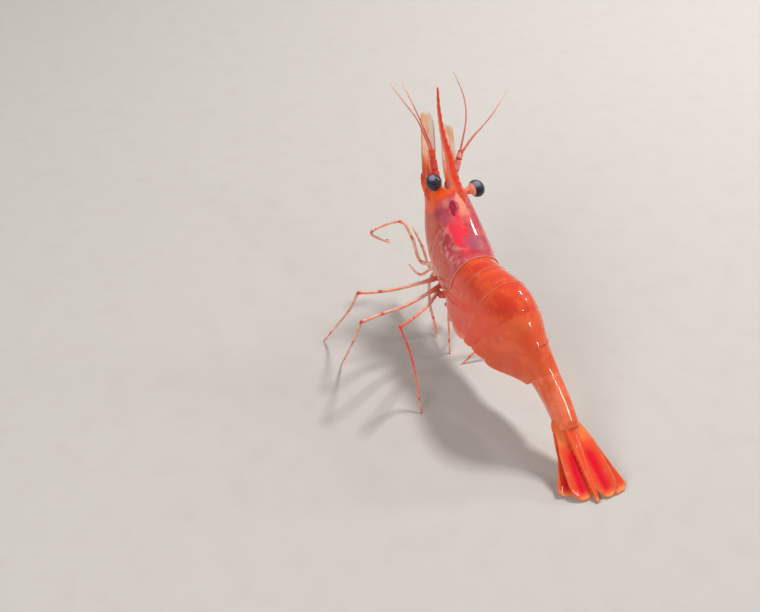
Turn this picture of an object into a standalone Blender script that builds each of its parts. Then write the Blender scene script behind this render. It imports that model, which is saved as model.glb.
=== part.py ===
"""A northern shrimp as a still, life-size model: one named solid for each part of the body.

Lengths are in millimetres in the tables below and become metres where a mesh is made.
The head points along +Y, the back is up (+Z) and the animal's right side is +X.
The shrimp stands on its walking legs and on the tips of its tail fan, all at z = 0.
"""

from math import cos, pi, radians, sin, tan

import bmesh
import bpy
from mathutils import Matrix, Vector

MM = 0.001  # metres in a millimetre
CARAPACE = 28.0  # length of the head shield, from the eye socket to its rear edge
GAP = 0.3  # clear space between neighbouring solids
FEELER = 0.3  # radius of the finest feelers and leg tips
UP = Vector((0, 0, 1))
SIDES = {"left": -1, "right": 1}

# Rings of the body from the tail to the eye sockets. Each line: name, step from the last ring along
# the back, rise of that step, tilt of the ring's own plane, yaw to the left, roll to the right
# (degrees), width, depth, and how deep its belly is hollowed. Lengths are shares of the carapace.
RINGS = (
    ("tail_base", 0.80, 38, 38, 0, 0, 0.24, 0.22, 0.02),
    ("tail_stem", 0.30, 41, 41, 2, 1, 0.26, 0.28, 0.03),
    ("sixth", 0.30, 42, 43, 6, 5, 0.29, 0.37, 0.06),
    ("fifth", 0.32, 45, 42, 9, 10, 0.43, 0.64, 0.16),
    ("fourth", 0.30, 45, 34, 6, 13, 0.57, 0.82, 0.21),
    ("hump", 0.24, 34, 23, 6, 14, 0.63, 0.89, 0.22),
    ("third", 0.24, 10, 12, 6, 14, 0.63, 0.92, 0.23),
    ("second", 0.36, -7, 4, 5, 14, 0.60, 0.87, 0.22),
    ("first", 0.24, -7, 3, -1, 14, 0.58, 0.78, 0.18),
    ("shield_rear", 0.25, 12, 8, -7, 16, 0.58, 0.71, 0.15),
    ("shield_mid", 0.25, 17, 12, -9, 20, 0.57, 0.69, 0.14),
    ("shield_fore", 0.25, 19, 16, -9, 23, 0.51, 0.64, 0.12),
    ("orbit", 0.22, 20, 30, -5, 26, 0.42, 0.51, 0.07),
)
NAMES = [ring[0] for ring in RINGS]

ARCH_POINTS = 5  # points from the middle of the back to the widest place on each side
WAIST = 0.42  # depth of the widest place of a cross-section, share of the full depth
ARCH_SQUARE = 0.9  # below 1 makes the arch of the back fuller than an ellipse
HEM_TUCK = 0.16  # how far the side plates lean in toward their lower edges, share of the half width
BELLY_EDGE, BELLY_FLOOR = 0.66, 0.5  # half widths of the belly's hollow at the hem and at its top
SHARP_ANGLE = radians(50)  # edges that turn more than this are shaded sharp

# How far the lower edge of each body piece reaches at its rear, middle and front, share of the depth.
HEMS = {
    "abdomen_6": (1.0, 1.0, 1.0),
    "abdomen_5": (1.18, 1.14, 1.03),
    "abdomen_4": (1.08, 1.06, 0.96),
    "abdomen_3": (0.96, 1.02, 0.90),
    "abdomen_2": (0.90, 1.00, 0.90),
    "abdomen_1": (0.90, 1.00, 0.90),
    "carapace": (0.94, 1.00, 0.94),
}


def axes(yaw, pitch, roll):
    """(right, forward, dorsal) unit vectors of a body part turned by these degrees."""
    a, b, r = radians(yaw), radians(pitch), radians(roll)
    forward = Vector((-sin(a) * cos(b), cos(a) * cos(b), sin(b)))
    right = Vector((cos(a), sin(a), 0))
    dorsal = right.cross(forward)
    return right * cos(r) - dorsal * sin(r), forward, dorsal * cos(r) + right * sin(r)


def blend(values, s):
    """Smooth (Catmull-Rom) reading of a list of numbers or vectors at a fractional index."""
    i = max(0, min(int(s), len(values) - 2))
    t = s - i
    p1, p2 = values[i], values[i + 1]
    p0 = values[i - 1] if i else p1 * 2 - p2
    p3 = values[i + 2] if i + 2 < len(values) else p2 * 2 - p1
    slope, bend = p2 - p0, p0 * 2 - p1 * 5 + p2 * 4 - p3
    return (p1 * 2 + slope * t + bend * t**2 + (p1 * 3 - p0 - p2 * 3 + p3) * t**3) * 0.5


def between(start, end, count):
    """count + 1 evenly spaced numbers from start to end."""
    return [start + (end - start) * k / count for k in range(count + 1)]


def back_line():
    """Points of the back's midline at the rings, from the tail fan's tip on the floor."""
    points, at = [], Vector((0, 0, 1.5))
    for ring in RINGS:
        step, rise, yaw = ring[1], ring[2], ring[4]
        at = at + axes(yaw, rise, 0)[1] * step * CARAPACE
        points.append(at)
    return points


BACK = back_line()


class Station:
    """A place along the body: its point on the back, its axes, width, depth and hollow."""

    def __init__(self, s):
        columns = list(zip(*RINGS))[3:]
        tilt, yaw, roll, width, depth, hollow = (blend(column, s) for column in columns)
        self.back = blend(BACK, s)
        self.right, self.forward, self.dorsal = axes(yaw, tilt, roll)
        self.width, self.depth, self.hollow = (share * CARAPACE for share in (width, depth, hollow))

    def at(self, across, down, ahead=0.0):
        """A point given across (right), down from the back and ahead, in millimetres."""
        return self.back + self.right * across - self.dorsal * down + self.forward * ahead

    def ring(self, ahead=0.0, hem=1.0):
        """The cross-section: an arched back, full sides down to the hems, and a hollow belly.

        hem is how far down the side plates reach, as a share of the full depth.
        """
        half, waist, low = self.width / 2, self.depth * WAIST, self.depth * hem
        top = self.depth - self.hollow
        outline = []
        for a in between(0, pi / 2, ARCH_POINTS):
            rise = max(0, cos(a)) ** ARCH_SQUARE
            outline.append((half * sin(a) ** ARCH_SQUARE, waist * (1 - rise)))
        for t in (0.35, 0.7, 1.0):
            outline.append((half * (1 - HEM_TUCK * t**2), waist + (low - waist) * t))
        outline += [(half * BELLY_EDGE, low), (half * BELLY_FLOOR, top), (0, top)]
        outline += [(-x, down) for x, down in reversed(outline[1:-1])]
        return [self.at(x, down, ahead) for x, down in outline]


def place(name):
    """The index of a named ring."""
    return NAMES.index(name)


HEAD = place("orbit")
HEAD_AXES = axes(-5, 19, 26)


def head(across, down, ahead):
    """A point on the head, from the middle of the brow: right, down and ahead, in millimetres."""
    right, forward, dorsal = HEAD_AXES
    return BACK[HEAD] + right * across - dorsal * down + forward * ahead


FINISHES = {
    "shell": ((0.80, 0.13, 0.05), 0.25),
    "shield": ((0.72, 0.14, 0.10), 0.22),
    "leg": ((0.78, 0.16, 0.09), 0.30),
    "fan": ((0.76, 0.05, 0.04), 0.25),
    "blade": ((0.86, 0.50, 0.28), 0.30),
    "feeler": ((0.60, 0.11, 0.08), 0.35),
    "eye": ((0.01, 0.012, 0.016), 0.08),
}


def material(finish):
    """The Principled material of a finish, made once."""
    found = bpy.data.materials.get(finish)
    if found:
        return found
    colour, roughness = FINISHES[finish]
    made = bpy.data.materials.new(finish)
    made.use_nodes = True
    shader = made.node_tree.nodes["Principled BSDF"]
    shader.inputs["Base Color"].default_value = (*colour, 1)
    shader.inputs["Roughness"].default_value = roughness
    shader.inputs["Metallic"].default_value = 0
    return made


def to_object(name, mesh, finish):
    """Link a finished bmesh as an object of its own, shaded smooth."""
    bmesh.ops.recalc_face_normals(mesh, faces=mesh.faces)
    data = bpy.data.meshes.new(name)
    mesh.to_mesh(data)
    mesh.free()
    data.shade_smooth()
    data.set_sharp_from_angle(angle=SHARP_ANGLE)
    data.materials.append(material(finish))
    bpy.context.scene.collection.objects.link(bpy.data.objects.new(name, data))


def stand_on_floor(mesh):
    """Cut a foot or tip level with the floor, leaving a small flat."""
    everything = list(mesh.verts) + list(mesh.edges) + list(mesh.faces)
    cut = bmesh.ops.bisect_plane(
        mesh, geom=everything, dist=1e-7, plane_co=(0, 0, 0), plane_no=UP, clear_inner=True
    )
    rim = [part for part in cut["geom_cut"] if isinstance(part, bmesh.types.BMEdge)]
    bmesh.ops.holes_fill(mesh, edges=rim)


def sweep(name, rings, finish, standing=False):
    """One closed body: the edge loop of the first ring is extruded onto each next ring in turn."""
    mesh = bmesh.new()
    verts = bmesh.ops.create_circle(mesh, segments=len(rings[0]), radius=1)["verts"]
    edges = list(mesh.edges)
    for ring in rings:
        if ring is not rings[0]:
            grown = bmesh.ops.extrude_edge_only(mesh, edges=edges)["geom"]
            fresh = {tuple(part.co): part for part in grown if isinstance(part, bmesh.types.BMVert)}
            verts = [fresh[tuple(vert.co)] for vert in verts]
            edges = [mesh.edges.get(pair) for pair in zip(verts, verts[1:] + verts[:1])]
        for vert, point in zip(verts, ring):
            vert.co = point * MM
    bmesh.ops.holes_fill(mesh, edges=list(mesh.edges))
    if standing:
        stand_on_floor(mesh)
    to_object(name, mesh, finish)


def along(points, trim_start, trim_end, count):
    """count + 1 points evenly along a smooth curve, trimmed at both ends, with their directions."""
    fine = [blend(points, s) for s in between(0, len(points) - 1, 24 * (len(points) - 1))]
    lengths = [0.0]
    for a, b in zip(fine, fine[1:]):
        lengths.append(lengths[-1] + (b - a).length)
    stops = []
    for target in between(trim_start, lengths[-1] - trim_end, count):
        k = next(i for i in range(1, len(fine)) if lengths[i] >= target or i == len(fine) - 1)
        t = (target - lengths[k - 1]) / (lengths[k] - lengths[k - 1])
        stops.append((fine[k - 1].lerp(fine[k], t), (fine[k] - fine[k - 1]).normalized()))
    return stops


def tube(name, points, radii, finish, count=6, sides=6, trims=(0, 0), standing=False):
    """A round limb or feeler along a smooth curve, its radii spread evenly from start to end."""
    rings, across = [], None
    for k, (at, heading) in enumerate(along(points, *trims, count)):
        across = (across or heading.orthogonal()) - heading * heading.dot(across or heading.orthogonal())
        across.normalize()
        other = heading.cross(across)
        radius = blend(radii, (len(radii) - 1) * k / count)
        turns = [2 * pi * side / sides for side in range(sides)]
        rings.append([at + (across * cos(a) + other * sin(a)) * radius for a in turns])
    sweep(name, rings, finish, standing)


def blade(name, points, right, widths, thicknesses, finish, count=6, standing=False):
    """A flat leaf along a smooth curve: thickest down its middle, with blunt edges."""
    rings = []
    for k, (at, heading) in enumerate(along(points, 0, 0, count)):
        side = (right - heading * heading.dot(right)).normalized()
        up = side.cross(heading)
        half = blend(widths, (len(widths) - 1) * k / count) / 2
        high = blend(thicknesses, (len(thicknesses) - 1) * k / count) / 2
        rim = min(high, FEELER)
        top = [(-1, rim), (-0.5, high), (0.5, high), (1, rim)]
        outline = top + [(x, -z) for x, z in reversed(top)]
        rings.append([at + side * half * x + up * z for x, z in outline])
    sweep(name, rings, finish, standing)


def trunk(name, rear, front, finish, steps):
    """A piece of the trunk between two rings, set back by half a gap at each end."""
    rings = []
    for s in between(rear, front, steps):
        ahead = GAP / 2 * ((s == rear) - (s == front))
        hem = blend(HEMS[name], 2 * (s - rear) / (front - rear))
        rings.append(Station(s).ring(ahead, hem))
    sweep(name, rings, finish)


def make_abdomen():
    edges = ("tail_base", "sixth", "fifth", "fourth", "third", "second", "first")
    for number, rear, front in zip(range(6, 0, -1), edges, edges[1:]):
        trunk(f"abdomen_{number}", place(rear), place(front), "shell", 4)


def make_carapace():
    trunk("carapace", place("first"), place("orbit"), "shield", 10)


# Places on the head below are across (right), down and ahead of the middle of the brow.
ROSTRUM_LINE = ((0.1, 0.5, GAP), (-0.3, -1.6, 12), (-1.6, -4.2, 21), (-2.1, -7.2, 29), (-1.9, -10.3, 36.5))
ROSTRUM_TEETH = 11
TOOTH = 0.5  # height of the largest tooth
FIRST_LOWER_TOOTH = 0.3  # the lower edge is toothed from this share of the beak's length on


def make_rostrum():
    """The toothed beak: a tall thin blade with a ridge along each side, curving up to a blunt tip."""
    line = [head(*point) for point in ROSTRUM_LINE]
    dorsal = HEAD_AXES[2]
    steps = 2 * ROSTRUM_TEETH
    rings = []
    for k, (at, heading) in enumerate(along(line, 0, 0, steps)):
        t = k / steps
        up = (dorsal - heading * heading.dot(dorsal)).normalized()
        side = heading.cross(up)
        height = 0.5 + 1.3 * (1 - t) ** 0.8
        ridge = 0.30 + 0.65 * (1 - t)
        tooth = TOOTH * (1 - 0.5 * t) if k % 2 else 0
        top = height + tooth
        low = -0.9 * height - (0.8 * tooth if t > FIRST_LOWER_TOOTH else 0)
        edge = 0.3 * ridge
        outline = [(edge, top), (ridge, 0), (edge, low), (-edge, low), (-ridge, 0), (-edge, top)]
        rings.append([at + side * x + up * z for x, z in outline])
    sweep("rostrum", rings, "leg")


EYES = {"left": (-7.9, 2.1, 4.0), "right": (10.7, 1.6, 4.0)}
EYE_RADIUS = 2.9  # across the eye
EYE_FLATNESS = 0.82  # the eye is shorter than it is wide along the line of its stalk
STALK_ROOT = (1.7, 4.2, 1.9)
STALK_RADII = (0.8, 1.0, 1.7)


def make_eye(side, sign):
    """A round eye, flattened along its stalk, and the stalk that widens to meet it."""
    across, down, ahead = STALK_ROOT
    centre, root = head(*EYES[side]), head(sign * across, down, ahead)
    reach = EYE_RADIUS * EYE_FLATNESS
    mesh = bmesh.new()
    bmesh.ops.create_uvsphere(mesh, u_segments=16, v_segments=10, radius=EYE_RADIUS * MM)
    turned = (centre - root).to_track_quat("Z", "Y").to_matrix().to_4x4()
    squash = Matrix.Diagonal((1, 1, EYE_FLATNESS, 1))
    bmesh.ops.transform(mesh, matrix=Matrix.Translation(centre * MM) @ turned @ squash, verts=mesh.verts)
    to_object(f"eye_{side}", mesh, "eye")
    tube(f"eyestalk_{side}", [root, centre], STALK_RADII, "leg", 4, 8, (0, reach + GAP))


ANTENNULE_ROOT = (1.6, 7.3, 2.8)
ANTENNULE_RADII = (1.2, 1.25, 1.0, 1.05)
# For each side: the end of the jointed stem, then its two feelers. A feeler starts beside the
# middle of the stem's end, by the number given first, and runs through the places that follow.
ANTENNULES = {
    "left": (
        (-6.8, -1.6, 15.4),
        {
            "outer": (-0.55, [(-11.6, -5.0, 23.5), (-15.2, -5.7, 30.5), (-18.9, -6.1, 38)]),
            "inner": (0.55, [(-10.2, -4.8, 25), (-12.4, -6.3, 31), (-14.8, -7.7, 38)]),
        },
    ),
    "right": (
        (5.7, -2.7, 16.3),
        {
            "outer": (0.55, [(10.2, -5.2, 20.4), (15.3, -7.4, 25), (20.4, -10.3, 30), (26.4, -15.0, 37.6)]),
            "inner": (-0.55, [(7.1, -8.5, 25), (7.2, -11.6, 33), (2.8, -15.5, 40)]),
        },
    ),
}


def make_antennule(side, sign):
    """The stem of the first feeler and the two thin feelers at its end."""
    end, feelers = ANTENNULES[side]
    across, down, ahead = ANTENNULE_ROOT
    stem = [head(sign * across, down, ahead), head(*end)]
    tube(f"antennule_{side}", stem, ANTENNULE_RADII, "leg", 6, 8)
    for name, (offset, course) in feelers.items():
        start = (end[0] + offset, end[1], end[2] + 2 * GAP)
        line = [head(*point) for point in [start] + course]
        tube(f"antennule_{side}_{name}_feeler", line, (0.42, FEELER), "feeler", 10, 5)


# Root, middle and tip of the broad scale of each second antenna.
SCALES = {
    "left": ((-5.9, 6.4, 7.4), (-5.4, 1.2, 16.5), (-5.3, -4.7, 29.5)),
    "right": ((5.4, 7.6, 7.4), (5.4, 3.7, 16.5), (5.3, -1.8, 28.7)),
}
SCALE_WIDTHS = (4.2, 5.4, 5.9, 5.9, 5.4, 3.4)
SCALE_THICKNESSES = (1.1, 0.9, 0.7, 0.6)
ANTENNA_ROOT = (5.1, 9.3, 3.4)
ANTENNA_RADII = (1.9, 1.95, 1.1, 0.6, 0.5, 0.4, 0.35, FEELER)
ANTENNA_CLEARANCE = 2.6  # how far the antenna's short feeler runs below the scale


def make_antenna(side, sign):
    """The broad scale beside the beak, and under it the antenna's stout base and short feeler."""
    root, middle, tip = (Vector(point) for point in SCALES[side])
    scale = [head(*point) for point in (root, middle, tip)]
    blade(f"antennal_scale_{side}", scale, HEAD_AXES[0], SCALE_WIDTHS, SCALE_THICKNESSES, "blade", 8)
    across, down, ahead = ANTENNA_ROOT
    course = [Vector((sign * across, down, ahead))]
    for point in (root, middle, middle.lerp(tip, 0.7)):
        course.append(point + Vector((0, ANTENNA_CLEARANCE, 0)))
    tube(f"antenna_{side}", [head(*point) for point in course], ANTENNA_RADII, "leg", 12, 8)


def make_mouthparts():
    """The bunched jaws below the head."""
    line = [head(0, 12.2, 4.4), head(0, 12.0, 6.5), head(0, 11.0, 9)]
    tube("mouthparts", line, (2.4, 2.2, 1.2), "leg", 4, 10)


HIP_SPREAD = 0.12  # distance of a hip from the midline, share of the body's width
HEM_SPREAD = 0.30  # where a leg passes below the head shield's lower edge, share of the width
HEM_CLEARANCE = 1.6


def hip(s, sign, radius):
    """Where a limb leaves the underside of the thorax, just clear of the shell."""
    station = Station(s)
    down = station.depth - station.hollow + GAP + radius
    return station.at(sign * station.width * HIP_SPREAD, down)


def past_hem(s, sign):
    """A point just below and inside the head shield's lower edge."""
    station = Station(s)
    return station.at(sign * station.width * HEM_SPREAD, station.depth + HEM_CLEARANCE)


# The walking legs. For each: its place along the body, the points of its upper part after the hem,
# ending at the knee, and those of its lower part after the knee. Points are in millimetres from the
# tail's tip: x to the right, y toward the head and z above the floor.
WALKING_LEGS = {
    (3, "left"): (
        9.35,
        [(-27.3, 85.8, 24), (-36.8, 83.7, 27), (-42.4, 83.0, 29)],
        [(-43.7, 88.2, 18), (-46.5, 93.3, 8), (-50.8, 96.1, -0.5)],
    ),
    (4, "left"): (
        9.0,
        [(-27.4, 78.0, 23), (-38.5, 72.6, 27), (-46.7, 69.2, 29)],
        [(-47.4, 74.4, 17), (-48.2, 79.9, 6), (-49.0, 82.9, -0.5)],
    ),
    (5, "left"): (
        8.65,
        [(-15.0, 80.6, 22.5), (-20.6, 75.2, 23.5), (-29.6, 67.2, 27), (-36.9, 61.5, 30)],
        [(-33.4, 62.0, 19), (-32.4, 59.0, 11), (-33.2, 51.2, -0.5)],
    ),
    (3, "right"): (9.35, [(4, 91, 23), (10, 91, 21)], [(14, 92, 10), (15.5, 93, -0.5)]),
    (4, "right"): (
        9.0,
        [(1, 88, 21), (-2, 96, 18)],
        [(-8.5, 85, 12), (-11.5, 78, 7), (-12.8, 73.6, -0.5)],
    ),
    (5, "right"): (8.65, [(6, 77, 21), (9, 71, 14)], [(0, 69.5, 7.5), (-11.7, 67.5, -0.5)]),
}
THIGH_RADII = (0.8, 0.62, 0.5)
SHIN_RADII = (0.5, 0.42, 0.34)


def bend_trim(before, knee, after, radius):
    """How far each half of a leg stops short of a sharp knee to stay clear of the other half."""
    turn = (knee - before).angle(after - knee)
    return GAP / 2 + radius * tan(turn / 2)


def make_walking_leg(number, side):
    """A walking leg in two parts that stop short of each other at the knee."""
    s, upper, lower = WALKING_LEGS[number, side]
    sign = SIDES[side]
    thigh = [hip(s, sign, THIGH_RADII[0]), past_hem(s, sign)] + [Vector(point) for point in upper]
    shin = [thigh[-1]] + [Vector(point) for point in lower]
    trim = bend_trim(thigh[-2], thigh[-1], shin[1], THIGH_RADII[-1])
    tube(f"leg_{number}_{side}_upper", thigh, THIGH_RADII, "leg", 7, 6, (0, trim))
    tube(f"leg_{number}_{side}_lower", shin, SHIN_RADII, "leg", 6, 6, (trim, 0), standing=True)


# The limbs that are off the floor. For each: its place along the body, then its points after the
# hip, in millimetres from the tail's tip.
SMALL_LIMBS = {
    "leg_1_left": (10.05, [(-10.4, 96.0, 20), (-9.2, 106.8, 22), (-8.6, 116.6, 24)]),
    "leg_1_right": (10.05, [(-8.5, 98, 19), (-12.4, 101, 14.5), (-12.8, 110, 13)]),
    "leg_2_left": (
        9.7,
        [(-12.5, 99.5, 21), (-12.2, 109, 25), (-13.5, 117, 27), (-23.8, 118.5, 24), (-17.4, 116.2, 19)],
    ),
    "leg_2_right": (9.7, [(-10.5, 95, 18), (-12.9, 91, 10), (-12.8, 87.8, 5), (-13.0, 83.4, 0.6)]),
    "maxilliped_left": (10.8, [(-7.5, 104, 30), (-5.0, 114, 33)]),
    "maxilliped_right": (10.8, [(-1.5, 104, 28), (3.0, 114, 31)]),
}
LIMB_RADII = (0.6, 0.45, 0.42, 0.34)


def make_small_limb(name):
    """One slender limb in a single piece."""
    s, points = SMALL_LIMBS[name]
    sign = SIDES[name.rsplit("_", 1)[1]]
    line = [hip(s, sign, LIMB_RADII[0])] + [Vector(point) for point in points]
    tube(name, line, LIMB_RADII, "leg", 4 * len(points), 6)


# For each somite: where its swimmerets start along the body, and how far their tips hang below it.
SWIMMERETS = {5: (2.5, 2.6), 4: (3.4, 2.6), 3: (5.0, 0.8), 2: (6.5, 0.8), 1: (7.5, 0.8)}
SWIMMERET_REACH = 0.85  # how far forward the tips reach, in steps of the rings
SWIMMERET_WIDTH = 0.2  # share of the body's width


def make_swimmeret(number, side):
    """A paddle under a somite, folded forward below the belly of the one ahead."""
    s, drop = SWIMMERETS[number]
    sign = SIDES[side]
    root, ahead = Station(s), Station(s + SWIMMERET_REACH)
    start = root.at(sign * root.width * 0.14, root.depth - root.hollow + GAP + 0.4)
    tip = ahead.at(sign * ahead.width * 0.24, ahead.depth + drop)
    knee = start.lerp(tip, 0.3) - root.dorsal * 1.2
    widths = [root.width * SWIMMERET_WIDTH * share for share in (0.6, 1, 1, 0.8, 0.3)]
    blade(f"swimmeret_{number}_{side}", [start, knee, tip], root.right, widths, (1.2, 0.9, 0.7), "leg")


TELSON_TIP = (0.3, -0.6, -0.5)
TELSON_WIDTHS = (5.0, 4.2, 3.2, 2.2, 1.8)
TELSON_THICKNESSES = (2.2, 1.6, 1.1, 0.8)
# For each blade of the fan: its root across and down from the last somite's back, its tip in
# millimetres from the tail's tip, and its greatest width.
UROPODS = {
    ("left", "inner"): (-1.5, 3.3, (-3.0, 1.6, -0.5), 5.0),
    ("left", "outer"): (-2.4, 4.8, (-4.4, 3.6, -0.5), 6.0),
    ("right", "inner"): (1.5, 3.3, (5.2, 1.0, -0.5), 5.0),
    ("right", "outer"): (2.4, 4.8, (8.6, 3.4, -0.5), 6.0),
}
UROPOD_THICKNESSES = (1.2, 0.9, 0.7)


def make_tail_fan():
    """Telson and two pairs of uropods, spread flat and standing on their tips."""
    rump = Station(0)
    rear = -GAP / 2
    telson = [rump.at(0, 1.2, rear), rump.at(0, 1.0, -10), Vector(TELSON_TIP)]
    blade("telson", telson, rump.right, TELSON_WIDTHS, TELSON_THICKNESSES, "fan", 8, True)
    for (side, layer), (across, down, tip, broad) in UROPODS.items():
        start = rump.at(across, down, rear)
        line = [start, start.lerp(Vector(tip), 0.5), Vector(tip)]
        widths = (2.0, broad * 0.8, broad, broad, broad * 0.7)
        blade(f"uropod_{side}_{layer}", line, rump.right, widths, UROPOD_THICKNESSES, "fan", 8, True)


def clear_scene():
    for old in list(bpy.data.objects):
        bpy.data.objects.remove(old, do_unlink=True)


def middle_of(corners):
    """The middle of the box around a list of points."""
    return Vector([(max(values) + min(values)) / 2 for values in zip(*corners)])


def set_origins():
    """Give each piece an origin at its own middle, and hang all on the middle of the footprint."""
    made = [item for item in bpy.context.scene.objects if item.type == "MESH"]
    footprint = middle_of([vert.co for item in made for vert in item.data.vertices])
    footprint.z = 0
    base = bpy.data.objects.new("shrimp", None)
    bpy.context.scene.collection.objects.link(base)
    for item in made:
        centre = middle_of([vert.co for vert in item.data.vertices])
        item.data.transform(Matrix.Translation(-centre))
        item.location = centre - footprint
        item.parent = base


def main():
    clear_scene()
    make_carapace()
    make_rostrum()
    make_abdomen()
    make_tail_fan()
    make_mouthparts()
    for side, sign in SIDES.items():
        make_eye(side, sign)
        make_antennule(side, sign)
        make_antenna(side, sign)
        for number in SWIMMERETS:
            make_swimmeret(number, side)
    for number, side in WALKING_LEGS:
        make_walking_leg(number, side)
    for name in SMALL_LIMBS:
        make_small_limb(name)
    set_origins()


main()
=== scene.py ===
"""A northern shrimp as a still, life-size model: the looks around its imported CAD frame.

Shapes are worked out in millimetres from the tail's tip and are placed in the frame as they are
finished. The head points along +Y, the back is up and the animal's right side is +X.
"""

from math import copysign, cos, exp, floor, pi, radians, sin, sqrt

import bmesh
import bpy
from bpy.props import FloatProperty, FloatVectorProperty, PointerProperty
from mathutils import Matrix, Vector, noise


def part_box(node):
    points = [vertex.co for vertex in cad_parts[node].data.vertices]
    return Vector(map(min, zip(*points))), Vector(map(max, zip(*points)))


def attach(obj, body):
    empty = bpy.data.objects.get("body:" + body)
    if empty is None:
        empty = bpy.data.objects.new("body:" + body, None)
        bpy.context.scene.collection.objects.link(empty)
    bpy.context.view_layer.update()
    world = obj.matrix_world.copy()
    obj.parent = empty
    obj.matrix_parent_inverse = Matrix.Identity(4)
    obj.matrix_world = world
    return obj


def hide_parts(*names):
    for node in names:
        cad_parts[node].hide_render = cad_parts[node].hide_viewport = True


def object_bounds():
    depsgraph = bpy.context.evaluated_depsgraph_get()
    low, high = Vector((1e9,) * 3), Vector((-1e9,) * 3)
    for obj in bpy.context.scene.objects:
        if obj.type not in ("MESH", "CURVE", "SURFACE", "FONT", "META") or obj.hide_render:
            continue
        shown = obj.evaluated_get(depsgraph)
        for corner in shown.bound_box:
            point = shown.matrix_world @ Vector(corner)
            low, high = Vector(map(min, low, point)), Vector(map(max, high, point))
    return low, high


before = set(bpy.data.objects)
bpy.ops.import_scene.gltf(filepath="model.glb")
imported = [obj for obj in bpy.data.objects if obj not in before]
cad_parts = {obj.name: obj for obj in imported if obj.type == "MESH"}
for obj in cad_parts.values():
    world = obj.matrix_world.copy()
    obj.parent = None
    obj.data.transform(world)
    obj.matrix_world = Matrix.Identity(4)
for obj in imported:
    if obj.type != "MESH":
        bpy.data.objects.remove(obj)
CAD_BOX = [list(corner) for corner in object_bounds()]

bl_info = {
    "name": "Northern shrimp",
    "version": (1, 0, 0),
    "blender": (4, 5, 0),
    "location": "View3D > Sidebar > Shrimp",
    "description": "Models a northern shrimp piece by piece, with its wet shell and its stage",
    "category": "Object",
}

MM = 0.001  # metres in a millimetre
CARAPACE = 28.0  # length of the head shield, from the eye socket to its rear edge
TAIL_TIP = Vector((0, 0, 1.5))  # where the back's midline starts, just above the floor
SIDES = {"left": -1, "right": 1}
SHAPE_MAP = "Shape"  # UV map: u round a piece, v along it
BAKE_MAP = "OFBake"

# Rings of the body from the tail to the eye sockets. Each line: step from the last ring along the
# back, rise of that step, tilt of the ring's own plane, yaw to the left, roll to the right
# (degrees), width, depth, and how deep its belly is hollowed. Lengths are shares of the carapace.
RINGS = (
    (0.80, 38, 38, 0, 0, 0.24, 0.22, 0.02),
    (0.30, 41, 41, 2, 1, 0.26, 0.28, 0.03),
    (0.30, 42, 43, 6, 5, 0.29, 0.37, 0.06),
    (0.32, 45, 42, 9, 10, 0.43, 0.64, 0.16),
    (0.30, 45, 34, 6, 13, 0.57, 0.82, 0.21),
    (0.24, 34, 23, 6, 14, 0.63, 0.89, 0.22),
    (0.24, 10, 12, 6, 14, 0.63, 0.92, 0.23),
    (0.36, -7, 4, 5, 14, 0.60, 0.87, 0.22),
    (0.24, -7, 3, -1, 14, 0.58, 0.78, 0.18),
    (0.25, 12, 8, -7, 16, 0.58, 0.71, 0.15),
    (0.25, 17, 12, -9, 20, 0.57, 0.69, 0.14),
    (0.25, 19, 16, -9, 23, 0.51, 0.64, 0.12),
    (0.22, 20, 30, -5, 26, 0.42, 0.51, 0.07),
)
WAIST = 0.42  # depth of the widest place of a cross-section, share of the full depth
ARCH_SQUARE = 0.9  # below 1 makes the arch of the back fuller than an ellipse
ARCH_SHARE = 0.6  # share of each side, from the middle of the back down, that is arched
HEM_TUCK = 0.16  # how far the side plates lean in toward their lower edges, share of the half width
BELLY_EDGE, BELLY_FLOOR = 0.66, 0.5  # half widths of the belly's hollow at the hem and at its top
SKIN_DEPTH = 0.7  # how far the soft skin lies under the shell's outer face


def axes(yaw, pitch, roll):
    """(right, forward, dorsal) unit vectors of a body part turned by these degrees."""
    a, b, r = radians(yaw), radians(pitch), radians(roll)
    forward = Vector((-sin(a) * cos(b), cos(a) * cos(b), sin(b)))
    right = Vector((cos(a), sin(a), 0))
    dorsal = right.cross(forward)
    return right * cos(r) - dorsal * sin(r), forward, dorsal * cos(r) + right * sin(r)


def blend(values, s):
    """Smooth (Catmull-Rom) reading of a list of numbers or vectors at a fractional index."""
    i = max(0, min(int(s), len(values) - 2))
    t = s - i
    p1, p2 = values[i], values[i + 1]
    p0 = values[i - 1] if i else p1 * 2 - p2
    p3 = values[i + 2] if i + 2 < len(values) else p2 * 2 - p1
    slope, bend = p2 - p0, p0 * 2 - p1 * 5 + p2 * 4 - p3
    return (p1 * 2 + slope * t + bend * t**2 + (p1 * 3 - p0 - p2 * 3 + p3) * t**3) * 0.5


def curve(table, x):
    """Straight-line reading of a table of (place, value) pairs, held level past its ends."""
    for (x0, y0), (x1, y1) in zip(table, table[1:]):
        if x <= x1:
            return y0 + (y1 - y0) * max(0.0, (x - x0) / (x1 - x0))
    return table[-1][1]


def ease(low, high, x):
    """0 below low, 1 above high, and a smooth step between them."""
    t = max(0.0, min(1.0, (x - low) / (high - low)))
    return t * t * (3 - 2 * t)


def bell(x, middle, spread):
    """A smooth hump of height 1 around a middle."""
    return exp(-(((x - middle) / spread) ** 2))


def back_line():
    """Points of the back's midline at the rings, from the tail fan's tip to the brow."""
    points, at = [], TAIL_TIP
    for ring in RINGS:
        step, rise, yaw = ring[0], ring[1], ring[3]
        at = at + axes(yaw, rise, 0)[1] * step * CARAPACE
        points.append(at)
    return points


BACK = back_line()
HEAD_RIGHT, HEAD_AHEAD, HEAD_UP = axes(-5, 19, 26)


def head(across, down, ahead):
    """A point on the head, from the middle of the brow: right, down and ahead, in millimetres."""
    return BACK[-1] + HEAD_RIGHT * across - HEAD_UP * down + HEAD_AHEAD * ahead


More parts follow.
